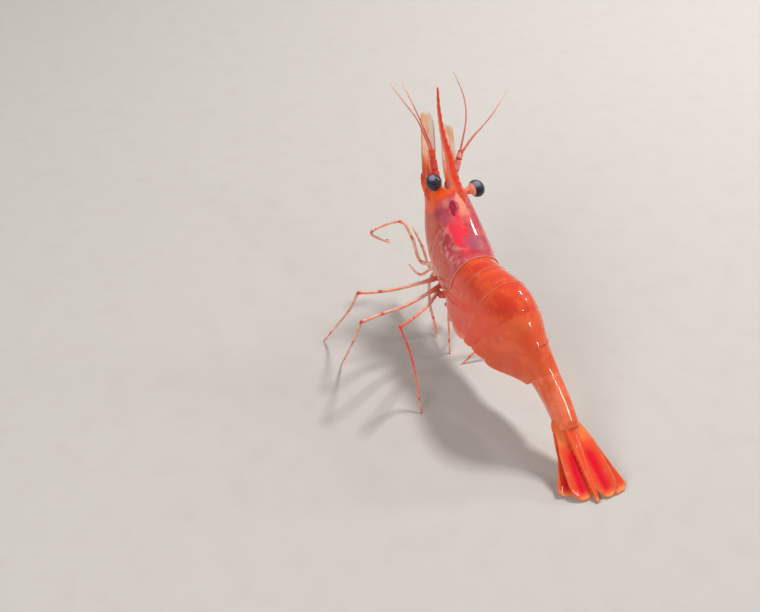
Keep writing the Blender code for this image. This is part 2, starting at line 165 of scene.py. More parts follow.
class Station:
    """A place along the body: its point on the back, its axes, width, depth and hollow."""

    def __init__(self, s):
        columns = list(zip(*RINGS))[2:]
        tilt, yaw, roll, width, depth, hollow = (blend(column, s) for column in columns)
        self.back = blend(BACK, s)
        self.right, self.forward, self.dorsal = axes(yaw, tilt, roll)
        self.width, self.depth, self.hollow = (share * CARAPACE for share in (width, depth, hollow))

    def at(self, across, down, ahead=0.0):
        """A point given across (right), down from the back and ahead, in millimetres."""
        return self.back + self.right * across - self.dorsal * down + self.forward * ahead

    def flank(self, turn, hem, out):
        """A point of the shell, from the left hem (turn -1) over the back (0) to the right hem (1).

        hem is how far down the side plates reach, as a share of the depth. out is how far the
        point stands out of the shell's own face, in millimetres.
        """
        half, waist = self.width / 2 + out, self.depth * WAIST + out
        share = abs(turn)
        if share < ARCH_SHARE:
            a = pi / 2 * share / ARCH_SHARE
            x = half * sin(a) ** ARCH_SQUARE
            down = waist * (1 - max(0.0, cos(a)) ** ARCH_SQUARE) - out
        else:
            t = (share - ARCH_SHARE) / (1 - ARCH_SHARE)
            x = half * (1 - HEM_TUCK * t * t)
            down = waist - out + (self.depth * hem - waist + out) * t
        return self.at(copysign(x, turn), down)


# The middle of each eye on the head: across, down and ahead.
EYES = {"left": (-7.9, 2.1, 4.0), "right": (10.7, 1.6, 4.0)}


def place_in_frame():
    """The matrix from millimetres at the tail's tip to the frame, found from the right eye."""
    low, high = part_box("eye_right")
    shift = (Vector(low) + Vector(high)) / 2 - head(*EYES["right"]) * MM
    return Matrix.Translation(shift) @ Matrix.Scale(MM, 4)


PLACE = place_in_frame()


# Colours and materials


def colour(code):
    """The linear colour of an sRGB hex code."""
    values = [int(code[i : i + 2], 16) / 255 for i in (1, 3, 5)]
    return (*[v / 12.92 if v <= 0.04045 else ((v + 0.055) / 1.055) ** 2.4 for v in values], 1.0)


def tone(name, description, code):
    """A colour property."""
    return FloatVectorProperty(
        name=name, description=description, subtype="COLOR", size=4, min=0, max=1, default=colour(code)
    )


def length(name, description, default):
    """A length property, in metres."""
    return FloatProperty(name=name, description=description, unit="LENGTH", min=0, default=default)


class ShrimpColours(bpy.types.PropertyGroup):
    """The colours of the shrimp and of the floor"""

    shell: tone("Shell", "Orange-red of the tail's plates", "#e3532b")
    shell_deep: tone("Shell, deep", "Darker red clouds in the tail's plates", "#d23a22")
    shell_mid: tone("Shell, middle", "Orange-red of the plates behind the hump", "#ea6138")
    shell_rear: tone("Shell, rear", "Lighter orange of the tail's narrow end", "#f87c58")
    shell_flank: tone("Shell, flanks", "Rosy red of the plates' sides", "#ee533a")
    shell_rim: tone("Shell, rims", "Pale rear edges of the plates", "#f0a184")
    shield: tone("Shield", "Rose red of the head shield", "#d2545a")
    shield_deep: tone("Shield, deep", "Darker clouds in the head shield", "#b63b45")
    shield_flank: tone("Shield, flanks", "Brown-red of the head shield's sides", "#cf4a2c")
    cheek: tone("Cheeks", "Vivid orange below the eyes", "#ff5a0c")
    organ: tone("Liver", "Bright red organ under the shield", "#f2364a")
    mauve: tone("Mauve", "Bluish tissue beside the liver", "#a0546c")
    stomach: tone("Stomach", "Purple organ under the shield", "#8e2240")
    beak: tone("Beak", "Red of the toothed beak", "#d2452f")
    flesh: tone("Soft skin", "Pale skin between the plates and below", "#e39a80")
    limb: tone("Limbs", "Pale pink of the legs", "#ebbdae")
    joint: tone("Joints", "Red bands at the joints", "#d2402e")
    stem: tone("Stems", "Orange-red of the feelers' stems", "#e04a2c")
    feeler: tone("Feelers", "Brownish pink of the fine feelers", "#cf6e58")
    blade: tone("Scales", "Pale amber of the antennal scales", "#e6ab7c")
    fan: tone("Fan", "Orange-red of the tail fan", "#f04c2c")
    fan_deep: tone("Fan, middle", "Crimson middle of the tail fan", "#de0226")
    fan_edge: tone("Fan, ends", "Pale orange ends of the fan's blades", "#f8985a")
    marble: tone("Marbling", "Whitish marbling of the tissue under the shield", "#ecc0ba")
    eye: tone("Eyes", "Blue-black of the eyes", "#14131a")
    floor: tone("Floor", "Plain pale floor", "#bdbab7")


class ShrimpSizes(bpy.types.PropertyGroup):
    """The sizes of the shrimp's fine detail"""

    wall: length("Shell thickness", "Thickness of the plates and the head shield", 0.00022)
    flare: length("Rim flare", "How far a plate's rear edge stands over the next plate", 0.00014)
    tooth: length("Beak tooth", "Height of the largest tooth of the beak", 0.0007)
    eye: length("Eye radius", "Half the width of an eye", 0.0029)
    bristle: length("Bristle length", "Length of the fringe bristles of the tail fan", 0.0013)
    spacing: length("Bristle spacing", "Distance between the fringe bristles", 0.00022)
    ring: length("Feeler ring", "Length of one ring of a feeler", 0.0011)


def names_of(group):
    """The names of a property group's own properties."""
    return [name for name in group.bl_rna.properties.keys() if name not in ("rna_type", "name")]


def add_node(tree, kind, inputs=(), **settings):
    """Add a shader node with its settings. An input takes a value, or the output to link to it."""
    made = tree.nodes.new("ShaderNode" + kind)
    for name, value in settings.items():
        setattr(made, name, value)
    for name, value in dict(inputs).items():
        if isinstance(value, bpy.types.NodeSocket):
            tree.links.new(value, made.inputs[name])
        else:
            made.inputs[name].default_value = value
    return made


def lay(tree, below, above, pattern, low=0.0, high=1.0, top=1.0):
    """Lay a colour over another where a pattern goes from low to high. top is the most of it."""
    share = add_node(
        tree,
        "MapRange",
        {"Value": pattern, "From Min": low, "From Max": high, "To Min": 0.0, "To Max": top},
        interpolation_type="SMOOTHSTEP",
    )
    return add_node(tree, "Mix", {0: share.outputs[0], 6: below, 7: above}, data_type="RGBA").outputs[2]


# Organs seen through the head shield: place and half size on the shield's own map (u from the left
# hem to the right, v from the rear to the eyes), colour, strength and softness of the edge. Those
# with crisp edges keep their shape; the others are drawn out by the tissue's own unevenness.
ORGANS = (
    (0.10, 0.45, 0.15, 0.80, "shield_flank", 0.95, 0.5),
    (0.90, 0.45, 0.15, 0.80, "shield_flank", 0.95, 0.5),
    (0.30, 0.66, 0.07, 0.13, "mauve", 0.45, 0.5),
    (0.325, 0.47, 0.07, 0.13, "organ", 0.8, 0.5),
    (0.380, 0.38, 0.09, 0.19, "organ", 1.0, 0.5),
    (0.41, 0.24, 0.07, 0.15, "organ", 0.8, 0.5),
    (0.48, 0.21, 0.10, 0.14, "mauve", 0.75, 0.5),
    (0.56, 0.28, 0.08, 0.08, "stomach", 0.35, 0.5),
    (0.26, 0.38, 0.08, 0.26, "marble", 0.3, 0.5),
    (0.30, 0.15, 0.12, 0.18, "marble", 0.42, 0.5),
    (0.47, 0.76, 0.06, 0.24, "shell_rim", 0.75, 0.5),
    (0.34, 0.80, 0.05, 0.10, "shell_rim", 0.35, 0.5),
    (0.17, 0.96, 0.19, 0.22, "cheek", 1.0, 0.4),
    (0.83, 0.96, 0.19, 0.22, "cheek", 1.0, 0.4),
    (0.38, 1.00, 0.12, 0.10, "cheek", 0.9, 0.5),
    (0.62, 1.00, 0.12, 0.10, "cheek", 0.9, 0.5),
    (0.386, 0.745, 0.034, 0.085, "stomach", 1.0, 0.2),
    (0.392, 0.675, 0.030, 0.090, "stomach", 1.0, 0.2),
    (0.408, 0.56, 0.015, 0.11, "organ", 0.9, 0.2),
)
CRISP = 0.3  # organs with a softer edge than this are drawn out
DRIFT = 0.14  # how far they are drawn out, as a share of the shield's map


def organ_colours(tree, hue, colours, spot, chart):
    """Lay the organs under the head shield over its colour."""
    unevenness = add_node(tree, "TexNoise", {"Vector": spot, "Scale": 1 / (4 * MM), "Detail": 4.0})
    shift = add_node(
        tree, "VectorMath", {0: unevenness.outputs["Color"], 1: (0.5, 0.5, 0.5)}, operation="SUBTRACT"
    )
    shift = add_node(tree, "VectorMath", {0: shift.outputs[0], "Scale": DRIFT}, operation="SCALE")
    drawn_out = add_node(tree, "VectorMath", {0: chart, 1: shift.outputs[0]}, operation="ADD").outputs[0]
    # The pale marbling runs in veins about 2.6 mm apart.
    marbling = {"Vector": spot, "Scale": 1 / (2.6 * MM), "Detail": 3.0, "Roughness": 0.6, "Distortion": 0.5}
    marbling = add_node(tree, "TexNoise", marbling).outputs["Fac"]
    for u, v, half_u, half_v, organ, strength, edge in ORGANS:
        centred = add_node(
            tree,
            "Mapping",
            {
                "Vector": chart if edge < CRISP else drawn_out,
                "Location": (-u / half_u, -v / half_v, 0),
                "Scale": (1 / half_u, 1 / half_v, 0),
            },
        )
        if organ == "marble":
            veins = {"Value": marbling, "From Min": 0.42, "From Max": 0.68, "To Min": 0.0, "To Max": strength}
            strength = add_node(tree, "MapRange", veins, interpolation_type="SMOOTHSTEP").outputs[0]
        ball = add_node(tree, "TexGradient", {"Vector": centred.outputs[0]}, gradient_type="SPHERICAL")
        hue = lay(tree, hue, colours[organ], ball.outputs["Fac"], 0.0, edge, strength)
    return hue


def cuticle(
    tree,
    colours,
    light,
    deep,
    flank=None,
    rim="shell_rim",
    red="joint",
    organs=False,
    size=5.0,
    soft=0.25,
    wet=0.85,
):
    """A wet, slightly see-through crustacean shell, and the soft skin between its plates.

    Clouds of two colours, pale flecks and red pigment cells lie in it. The tint attribute brings
    in the rim colour (above 0) and the red one (below 0). A film of water gives it its gloss.
    size is that of the clouds in millimetres, soft the share of light that scatters inside, and
    wet the share of the film that covers it.
    """
    here = add_node(tree, "TexCoord")
    spot, chart = here.outputs["Object"], here.outputs["UV"]
    clouds = {"Vector": spot, "Scale": 1 / (size * MM), "Detail": 3.0, "Roughness": 0.6}
    clouds = add_node(tree, "TexNoise", clouds).outputs["Fac"]
    hue = lay(tree, colours[light], colours[deep], clouds, 0.36, 0.62)
    if flank:
        across = add_node(tree, "SeparateXYZ", {0: chart}).outputs["X"]
        off = add_node(tree, "Math", {0: across, 1: 0.5}, operation="SUBTRACT")
        off = add_node(tree, "Math", {0: off.outputs[0]}, operation="ABSOLUTE")
        hue = lay(tree, hue, colours[flank], off.outputs[0], 0.16, 0.34, 0.85)
    if organs:
        hue = organ_colours(tree, hue, colours, spot, chart)
    # Pale flecks of light-scattering tissue lie about 2.6 mm apart.
    flecks = {"Vector": spot, "Scale": 1 / (2.6 * MM), "Detail": 3.0, "Roughness": 0.6}
    flecks = add_node(tree, "TexNoise", flecks).outputs["Fac"]
    hue = lay(tree, hue, colours["flesh"], flecks, 0.58, 0.76, 0.3)
    # Pigment cells are about 0.1 mm across, drawn at 0.35 mm so that they show. They crowd in
    # patches about 3.5 mm across.
    cells = add_node(tree, "TexVoronoi", {"Vector": spot, "Scale": 1 / (0.7 * MM), "Randomness": 1.0})
    crowds = {"Vector": spot, "Scale": 1 / (3.5 * MM), "Detail": 3.0, "Roughness": 0.6}
    crowds = add_node(tree, "TexNoise", crowds).outputs["Fac"]
    crowds = {"Value": crowds, "From Min": 0.42, "From Max": 0.62, "To Min": 0.0, "To Max": 0.6}
    crowds = add_node(tree, "MapRange", crowds, interpolation_type="SMOOTHSTEP").outputs[0]
    hue = lay(tree, hue, colours["joint"], cells.outputs["Distance"], 0.34, 0.18, crowds)
    tint = add_node(tree, "Attribute", attribute_name="tint").outputs["Fac"]
    hue = lay(tree, hue, colours[rim], tint)
    hue = lay(tree, hue, colours[red], tint, 0.0, -1.0)
    # Pits 0.45 mm apart lie on waves of the shell about 1.6 mm long.
    pits = add_node(tree, "TexVoronoi", {"Vector": spot, "Scale": 1 / (0.45 * MM)}, feature="SMOOTH_F1")
    pits = {"Height": pits.outputs["Distance"], "Strength": 0.25, "Distance": 0.06 * MM}
    waves = add_node(tree, "TexNoise", {"Vector": spot, "Scale": 1 / (1.6 * MM), "Detail": 2.0})
    waves = {"Height": waves.outputs["Fac"], "Strength": 0.35, "Distance": 0.25 * MM}
    relief = add_node(tree, "Bump", {**waves, "Normal": add_node(tree, "Bump", pits).outputs[0]})
    # The film of water is smoother than the shell and lies on it in shallow swells about 4 mm long.
    film = add_node(tree, "TexNoise", {"Vector": spot, "Scale": 1 / (4 * MM), "Detail": 1.0}).outputs["Fac"]
    film = add_node(tree, "Bump", {"Height": film, "Strength": 0.5, "Distance": 0.09 * MM})
    dull = add_node(tree, "TexNoise", {"Vector": spot, "Scale": 1 / (1 * MM), "Detail": 3.0}).outputs["Fac"]
    dull = {"Value": dull, "From Min": 0.3, "From Max": 0.7, "To Min": 0.30, "To Max": 0.48}
    return {
        "Base Color": hue,
        "Roughness": add_node(tree, "MapRange", dull).outputs[0],
        "IOR": 1.42,
        "Specular IOR Level": 0.3,
        "Normal": relief.outputs[0],
        "Subsurface Weight": soft,
        "Subsurface Radius": (1.0, 0.35, 0.2),
        "Subsurface Scale": 1.2 * MM,
        "Coat Weight": wet,
        "Coat Roughness": 0.04,
        "Coat IOR": 1.4,
        "Coat Normal": film.outputs[0],
    }


def cornea(tree, colours):
    """Glassy black cornea: a fine mesh of facets under a clear, smooth surface.

    The tint attribute brings in a painted sheen: a bluish reflection of the sky, painted into the colour of
    the facets that face up.
    """
    spot = add_node(tree, "TexCoord").outputs["Object"]
    # Facets are about 0.06 mm across, drawn at 0.3 mm so that they show.
    facets = add_node(tree, "TexVoronoi", {"Vector": spot, "Scale": 1 / (0.3 * MM), "Randomness": 0.25})
    facets = facets.outputs["Distance"]
    hue = lay(tree, colours["eye"], colour("#3b3748"), facets, 0.2, 0.6, 0.5)
    clouds = add_node(tree, "TexNoise", {"Vector": spot, "Scale": 1 / (3 * MM), "Detail": 3.0}).outputs["Fac"]
    hue = lay(tree, hue, colour("#4a4052"), clouds, 0.45, 0.75, 0.5)
    tint = add_node(tree, "Attribute", attribute_name="tint").outputs["Fac"]
    relief = add_node(tree, "Bump", {"Height": facets, "Strength": 0.12, "Distance": 0.04 * MM})
    return {
        # The painted sheen: a pale bluish reflection of the sky, painted where the tint attribute marks the
        # facets that face up
        "Base Color": lay(tree, hue, colour("#8f8ea6"), tint, 0.0, 1.0, 0.75),
        "Roughness": 0.3,
        "IOR": 1.4,
        "Normal": relief.outputs[0],
        "Coat Weight": 0.5,
        "Coat Roughness": 0.05,
    }


def ringed(tree, colours):
    """Fine feeler cuticle: a chain of short rings, each with a darker edge.

    Real rings are about 0.2 mm long and are drawn longer so that they show.
    """
    spot = add_node(tree, "TexCoord").outputs["Object"]
    along = add_node(tree, "Attribute", attribute_name="run").outputs["Fac"]
    ring = bpy.context.scene.shrimp_sizes.ring / MM
    turns = add_node(tree, "Math", {0: along, 1: 1 / ring}, operation="MULTIPLY")
    phase = add_node(tree, "Math", {0: turns.outputs[0]}, operation="FRACT").outputs[0]
    hue = lay(tree, colours["feeler"], colours["joint"], phase, 0.55, 0.95, 0.6)
    clouds = add_node(tree, "TexNoise", {"Vector": spot, "Scale": 1 / (3 * MM), "Detail": 3.0}).outputs["Fac"]
    hue = lay(tree, hue, colours["flesh"], clouds, 0.5, 0.7, 0.5)
    tint = add_node(tree, "Attribute", attribute_name="tint").outputs["Fac"]
    relief = add_node(tree, "Bump", {"Height": phase, "Strength": 0.4, "Distance": 0.05 * MM})
    return {
        "Base Color": lay(tree, hue, colours["limb"], tint),
        "Roughness": 0.38,
        "IOR": 1.5,
        "Normal": relief.outputs[0],
        "Coat Weight": 0.4,
        "Coat Roughness": 0.15,
    }


def membrane(tree, colours):
    """See-through leaf of cuticle: amber, with faint clouds and red pigment cells."""
    here = add_node(tree, "TexCoord")
    spot = here.outputs["Object"]
    along = add_node(tree, "SeparateXYZ", {0: here.outputs["UV"]}).outputs["Y"]
    clouds = add_node(tree, "TexNoise", {"Vector": spot, "Scale": 1 / (4 * MM), "Detail": 3.0}).outputs["Fac"]
    hue = lay(tree, colours["blade"], colour("#ecd0b8"), clouds, 0.4, 0.65)
    hue = lay(tree, hue, colours["cheek"], along, 0.52, 0.10, 0.9)
    cells = add_node(tree, "TexVoronoi", {"Vector": spot, "Scale": 1 / (0.7 * MM)}).outputs["Distance"]
    hue = lay(tree, hue, colours["joint"], cells, 0.24, 0.12, 0.25)
    tint = add_node(tree, "Attribute", attribute_name="tint").outputs["Fac"]
    hue = lay(tree, hue, colour("#d9c9c0"), tint)
    grain = add_node(tree, "TexNoise", {"Vector": spot, "Scale": 1 / (0.8 * MM), "Detail": 3.0})
    relief = add_node(tree, "Bump", {"Height": grain.outputs["Fac"], "Strength": 0.3, "Distance": 0.1 * MM})
    return {
        "Base Color": lay(tree, hue, colour("#ac6a48"), tint, 0.0, -1.0),
        "Roughness": 0.3,
        "IOR": 1.45,
        "Alpha": 0.8,
        "Normal": relief.outputs[0],
        "Coat Weight": 0.5,
        "Coat Roughness": 0.1,
    }


def horn(tree, colours):
    """Fine horny bristles: amber, here and there as red as the shell."""
    spot = add_node(tree, "TexCoord").outputs["Object"]
    clouds = add_node(tree, "TexNoise", {"Vector": spot, "Scale": 1 / (2 * MM), "Detail": 3.0}).outputs["Fac"]
    hue = lay(tree, colours["blade"], colours["shell"], clouds, 0.4, 0.7, 0.6)
    return {"Base Color": hue, "Roughness": 0.4, "IOR": 1.5}


def board(tree, colours):
    """Matt painted board: plain and pale, with a barely visible tooth."""
    spot = add_node(tree, "TexCoord").outputs["Object"]
    tooth = add_node(tree, "TexNoise", {"Vector": spot, "Scale": 1 / (9 * MM), "Detail": 3.0}).outputs["Fac"]
    hue = lay(tree, colours["floor"], colour("#b2aeaa"), tooth, 0.45, 0.75, 0.25)
    return {"Base Color": hue, "Roughness": 0.8, "IOR": 1.5}


# The recipe of each material and what it is given.
MATERIALS = {
    # Thick wet plates: deep orange-red over the hump and lighter toward the fan.
    "front_tail_cuticle": (cuticle, {"light": "shell", "deep": "shell_deep", "flank": "shell_flank"}),
    "middle_tail_cuticle": (cuticle, {"light": "shell_mid", "deep": "shell"}),
    "rear_tail_cuticle": (cuticle, {"light": "shell_rear", "deep": "shell_mid"}),
    # Thin rose-red shell that lets the organs show through.
    "shield_cuticle": (cuticle, {"light": "shield", "deep": "shield_deep", "organs": True}),
    # Solid shell of the beak: an even, deep red.
    "beak_cuticle": (cuticle, {"light": "beak", "deep": "shell_deep", "size": 3.0}),
    # Leathery skin between the plates: paler and softer, with more light inside it.
    "soft_skin": (cuticle, {"light": "flesh", "deep": "shell_flank", "size": 3.0, "soft": 0.4}),
    # Milky cup that the cornea sits in.
    "eye_cup": (cuticle, {"light": "marble", "deep": "limb", "size": 1.5, "soft": 0.3}),
    # Small jointed parts: stems and stalks with pale ends, and orange antenna bases.
    "stem_cuticle": (cuticle, {"light": "stem", "deep": "joint", "rim": "limb", "size": 2.0}),
    "stalk_cuticle": (cuticle, {"light": "shell_rim", "deep": "cheek", "rim": "marble", "size": 2.0}),
    "cheek_cuticle": (cuticle, {"light": "cheek", "deep": "beak", "size": 2.5}),
    # Glassy pale pink tubes of the legs, red at the joints.
    "leg_cuticle": (cuticle, {"light": "limb", "deep": "flesh", "rim": "blade", "size": 2.5, "soft": 0.35}),
    # The fan's blades carry less water than the rest, so they gleam less.
    "fan_cuticle": (
        cuticle,
        {"light": "fan", "deep": "shell", "rim": "fan_deep", "red": "fan_edge", "size": 3.0, "wet": 0.3},
    ),
    "cornea": (cornea, {}),
    "ringed_cuticle": (ringed, {}),
    "scale_membrane": (membrane, {}),
    "bristle_horn": (horn, {}),
    "matt_board": (board, {}),
}


def material(name):
    """One of the shrimp's materials, made the first time it is asked for."""
    found = bpy.data.materials.get(name)
    if found:
        return found
    made = bpy.data.materials.new(name)
    made.use_nodes = True
    tree = made.node_tree
    tree.nodes.clear()
    group = bpy.context.scene.shrimp_colours
    recipe, settings = MATERIALS[name]
    finish = recipe(tree, {key: tuple(getattr(group, key)) for key in names_of(group)}, **settings)
    surface = add_node(tree, "BsdfPrincipled", finish)
    add_node(tree, "OutputMaterial", {"Surface": surface.outputs[0]})
    return made


# Shapes


WELD = 0.002  # points nearer to each other than this, in millimetres, are welded


def skin(columns, rows, shape, tint, wall=0.0, run=None):
    """A sheet of columns by rows, bent to shape(u, w) in millimetres, u and w from 0 to 1.

    Edges that meet are welded shut. A wall, in millimetres, is added inside an open sheet.
    tint(u, w) colours it, from -1 to 1, and run(w) is how far a point is along it.
    """
    mesh = bmesh.new()
    mesh.loops.layers.uv.new(SHAPE_MAP)
    tints = mesh.verts.layers.float.new("tint")
    runs = mesh.verts.layers.float.new("run")
    bmesh.ops.create_grid(mesh, x_segments=columns, y_segments=rows, size=0.5, calc_uvs=True)
    for vert in mesh.verts:
        u, w = vert.co.x + 0.5, vert.co.y + 0.5
        vert[tints] = tint(u, w)
        vert[runs] = run(w) if run else 0.0
        vert.co = shape(u, w)
    bmesh.ops.remove_doubles(mesh, verts=mesh.verts, dist=WELD)
    bmesh.ops.recalc_face_normals(mesh, faces=mesh.faces)
    if wall:
        bmesh.ops.solidify(mesh, geom=mesh.faces, thickness=wall)
    return mesh


def to_piece(name, mesh, finishes, nodes, sharp=60):
    """Place a finished bmesh in the frame as a piece of its own, standing for CAD nodes.

    Faces that meet at less than the sharp angle, in degrees, are shaded as one smooth surface.
    """
    # What reaches below the floor is cut level there, as the small flats that the model rests on.
    for vert in mesh.verts:
        vert.co.z = max(vert.co.z, 0.0)
    bmesh.ops.transform(mesh, matrix=PLACE, verts=mesh.verts)
    data = bpy.data.meshes.new(name)
    mesh.to_mesh(data)
    mesh.free()
    data.shade_smooth()
    data.set_sharp_from_angle(angle=radians(sharp))
    for finish in finishes:
        data.materials.append(material(finish))
    piece = bpy.data.objects.new(name, data)
    bpy.context.scene.collection.objects.link(piece)
    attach(piece, "root")
    if nodes:
        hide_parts(*nodes)


def join(pieces):
    """One bmesh of several, which are freed."""
    whole = bmesh.new()
    for mesh in pieces:
        data = bpy.data.meshes.new("part")
        mesh.to_mesh(data)
        mesh.free()
        whole.from_mesh(data)
        bpy.data.meshes.remove(data)
    return whole


def course(points, fine):
    """A dense smooth line through a few points, with this many steps between two of them."""
    points = [Vector(point) for point in points]
    return [blend(points, k / fine) for k in range(fine * (len(points) - 1) + 1)]


def lengths_along(line):
    """How far each point of a dense line is from its start, along the line."""
    lengths = [0.0]
    for a, b in zip(line, line[1:]):
        lengths.append(lengths[-1] + (b - a).length)
    return lengths


def stops_along(line, rows, right=None):
    """rows + 1 evenly spaced places on a dense line: point, side, up and ahead vectors.

    With right given, the side stays level with it; otherwise it is carried along untwisted.
    """
    lengths = lengths_along(line)
    stops, side, k = [], right, 1
    for row in range(rows + 1):
        target = lengths[-1] * row / rows
        while k < len(line) - 1 and lengths[k] < target:
            k += 1
        t = (target - lengths[k - 1]) / (lengths[k] - lengths[k - 1])
        ahead = (line[k] - line[k - 1]).normalized()
        side = right or side or ahead.orthogonal()
        side = (side - ahead * ahead.dot(side)).normalized()
        stops.append((line[k - 1].lerp(line[k], t), side, side.cross(ahead), ahead))
    return stops


def limb(line, radius, tint, columns, rows, flat=1.0, right=None):
    """A round limb along a dense line. radius(w) is in millimetres; its ends close in poles.

    flat is its thickness as a share of its width.
    """
    stops = stops_along(line, rows, right)

    def shape(u, w):
        at, side, up = stops[round(w * rows)][:3]
        a = 2 * pi * u
        size = 0.0 if w in (0.0, 1.0) else radius(w)
        return at + (side * cos(a) + up * sin(a) * flat) * size

    whole = lengths_along(line)[-1]
    return skin(columns, rows, shape, lambda u, w: tint(w), run=lambda w: w * whole)


def tip(w, share):
    """Closes a width in a round tip over the last share of a leaf."""
    x = max(0.0, (w - 1 + share) / share)
    return sqrt(max(0.0, 1 - x * x))


def root(w, share, least):
    """Opens a width from its least share at the root over the first share of a leaf."""
    return least + (1 - least) * ease(0, share, w)


def leaf_shape(line, right, half, thick, rows, camber=0.0):
    """The shape of a flat leaf along a dense line.

    u goes round it from its right edge (0) over the top to its left edge (0.5) and back below.
    half(w, across) and thick(w, across) are in millimetres, across from -1 to 1.
    """
    stops = stops_along(line, rows, right)

    def shape(u, w):
        at, side, up = stops[round(w * rows)][:3]
        across = cos(2 * pi * u)
        x = across * (0.0 if w in (0.0, 1.0) else half(w, across))
        z = 0.0 if w in (0.0, 1.0) else thick(w, across) * sin(2 * pi * u)
        return at + side * x + up * (z - camber * x * x)

    return shape


def new_fringe():
    """An empty bmesh for bristles, with its bake map."""
    mesh = bmesh.new()
    mesh.loops.layers.uv.new(BAKE_MAP)
    return mesh


TUFT = 0.003  # side of a bristle's patch of the bake map


def add_bristle(mesh, at, along, long, thick, patch):
    """One three-sided bristle. Its patch of the bake map is at its root's place on the skin."""
    turned = along.to_track_quat("Z", "Y").to_matrix().to_4x4()
    matrix = Matrix.Translation(at + along * long / 2) @ turned
    grown = bmesh.ops.create_cone(
        mesh, cap_ends=True, segments=3, radius1=thick, radius2=thick * 0.2, depth=long, matrix=matrix
    )["verts"]
    bake = mesh.loops.layers.uv[BAKE_MAP]
    for face in {face for vert in grown for face in vert.link_faces}:
        for k, loop in enumerate(face.loops):
            loop[bake].uv = (patch[0] + TUFT * (k % 2), patch[1] + TUFT * (k // 2))


BRISTLE_THICKNESS = 0.045
BRISTLE_DEPTH = 0.08  # how deep a bristle is rooted in its leaf


def fringe_leaf(mesh, shape, edge, start, end, long, spacing, lean, rows):
    """A row of bristles along one edge (u) of a leaf, from w start to end.

    lean turns them from straight out (0) toward the leaf's tip (1).
    """
    places = [shape(edge, k / rows) for k in range(rows + 1)]
    middles = [(shape(0.0, k / rows) + shape(0.5, k / rows)) / 2 for k in range(rows + 1)]
    w = start
    while w < end:
        k = min(int(w * rows), rows - 1)
        t = w * rows - k
        at = places[k].lerp(places[k + 1], t)
        step = places[k + 1] - places[k]
        out = (at - middles[k].lerp(middles[k + 1], t)).normalized()
        ahead = (middles[min(k + 1, rows)] - middles[max(k - 1, 0)]).normalized()
        jitter = noise.noise(at * 3.1) * 0.25
        along = (out * (1 - lean) + ahead * (lean + jitter)).normalized()
        size = long * (0.85 + 0.3 * noise.noise(at * 5.7))
        root_at = at - along * BRISTLE_DEPTH
        add_bristle(mesh, root_at, along, size, BRISTLE_THICKNESS, (edge * 0.99, w * 0.99))
        w += spacing / rows / max(step.length, spacing * 0.2)


# Pieces


def shell_plate(columns, rows, edges, hem, out, tint, wall):
    """A plate over the back. edges(turn) gives its rear and front place along the body."""

    def shape(u, w):
        turn = 2 * u - 1
        rear, front = edges(turn)
        s = rear + (front - rear) * w
        return Station(s).flank(turn, hem(s, w, turn), out(s, w, turn))

    return skin(columns, rows, shape, tint, wall)


SHIELD_REAR = 7.93  # place along the body of the head shield's rear edge
# Its front edge: place along the body for each share of the side, with the notch over the eye, the
# spine below it and the spine at the lower front corner.
SHIELD_FRONT = (
    (0.0, 12.40),
    (0.08, 12.36),
    (0.14, 12.16),
    (0.24, 12.02),
    (0.34, 12.06),
    (0.42, 12.26),
    (0.455, 12.40),
    (0.48, 12.72),
    (0.505, 12.46),
    (0.62, 12.40),
    (0.80, 12.40),
    (0.93, 12.38),
    (0.97, 12.56),
    (1.0, 12.26),
)


class SHRIMP_OT_head_shield(bpy.types.Operator):
    """Model the head shield with its eye notches, spines and grooves"""

    bl_idname = "shrimp.head_shield"
    bl_label = "Head shield"

    def execute(self, context):
        sizes = context.scene.shrimp_sizes

        def edges(turn):
            share = abs(turn)
            rear = SHIELD_REAR + 0.35 * ease(0.72, 1.0, share) - 0.06 * (1 - share)
            return rear, curve(SHIELD_FRONT, share)

        def hem(s, w, turn):
            return 0.86 + 0.045 * sin(pi * w) - 0.06 * (1 - ease(0, 0.14, w))

        def out(s, w, turn):
            share = abs(turn)
            flare = 0.4 * sizes.flare / MM * (1 - ease(0.0, 0.10, w))
            crest = 0.55 * ease(9.6, 11.8, s) * max(0.0, 1 - share / 0.13) ** 2
            groove = -0.18 * bell(s, 10.75 - 0.9 * share, 0.12) * ease(0.15, 0.4, share)
            groove -= 0.14 * bell(s, 9.9 + 0.5 * share, 0.14) * ease(0.35, 0.6, share)
            bulge = 0.25 * bell(s, 9.2, 0.8) * bell(share, 0.62, 0.2)
            bead = 0.16 * (1 - ease(0.0, 0.045, 1 - w)) + 0.10 * (1 - ease(0, 0.03, 1 - share))
            return flare + crest + groove + bulge + bead

        def tint(u, w):
            rear = 0.55 * (1 - ease(0.004, 0.018, w))
            hems = 0.5 * (1 - ease(0.02, 0.06, min(u, 1 - u)))
            return max(rear, hems)

        mesh = shell_plate(120, 110, edges, hem, out, tint, sizes.wall / MM)
        to_piece("head_shield", mesh, ["shield_cuticle"], ["carapace"], 50)
        return {"FINISHED"}


# The beak's midline on the head, from the brow to its tip: across, down and ahead.
BEAK_LINE = ((-0.3, -1.6, 12), (-1.6, -4.2, 21), (-2.1, -7.2, 29), (-1.9, -10.3, 36.5))
BEAK_TEETH = 16
TEETH_FROM, TEETH_TO = 0.06, 0.97  # shares of the beak's line
CREST = 0.30  # share of the beak's line that is the crest on the head shield


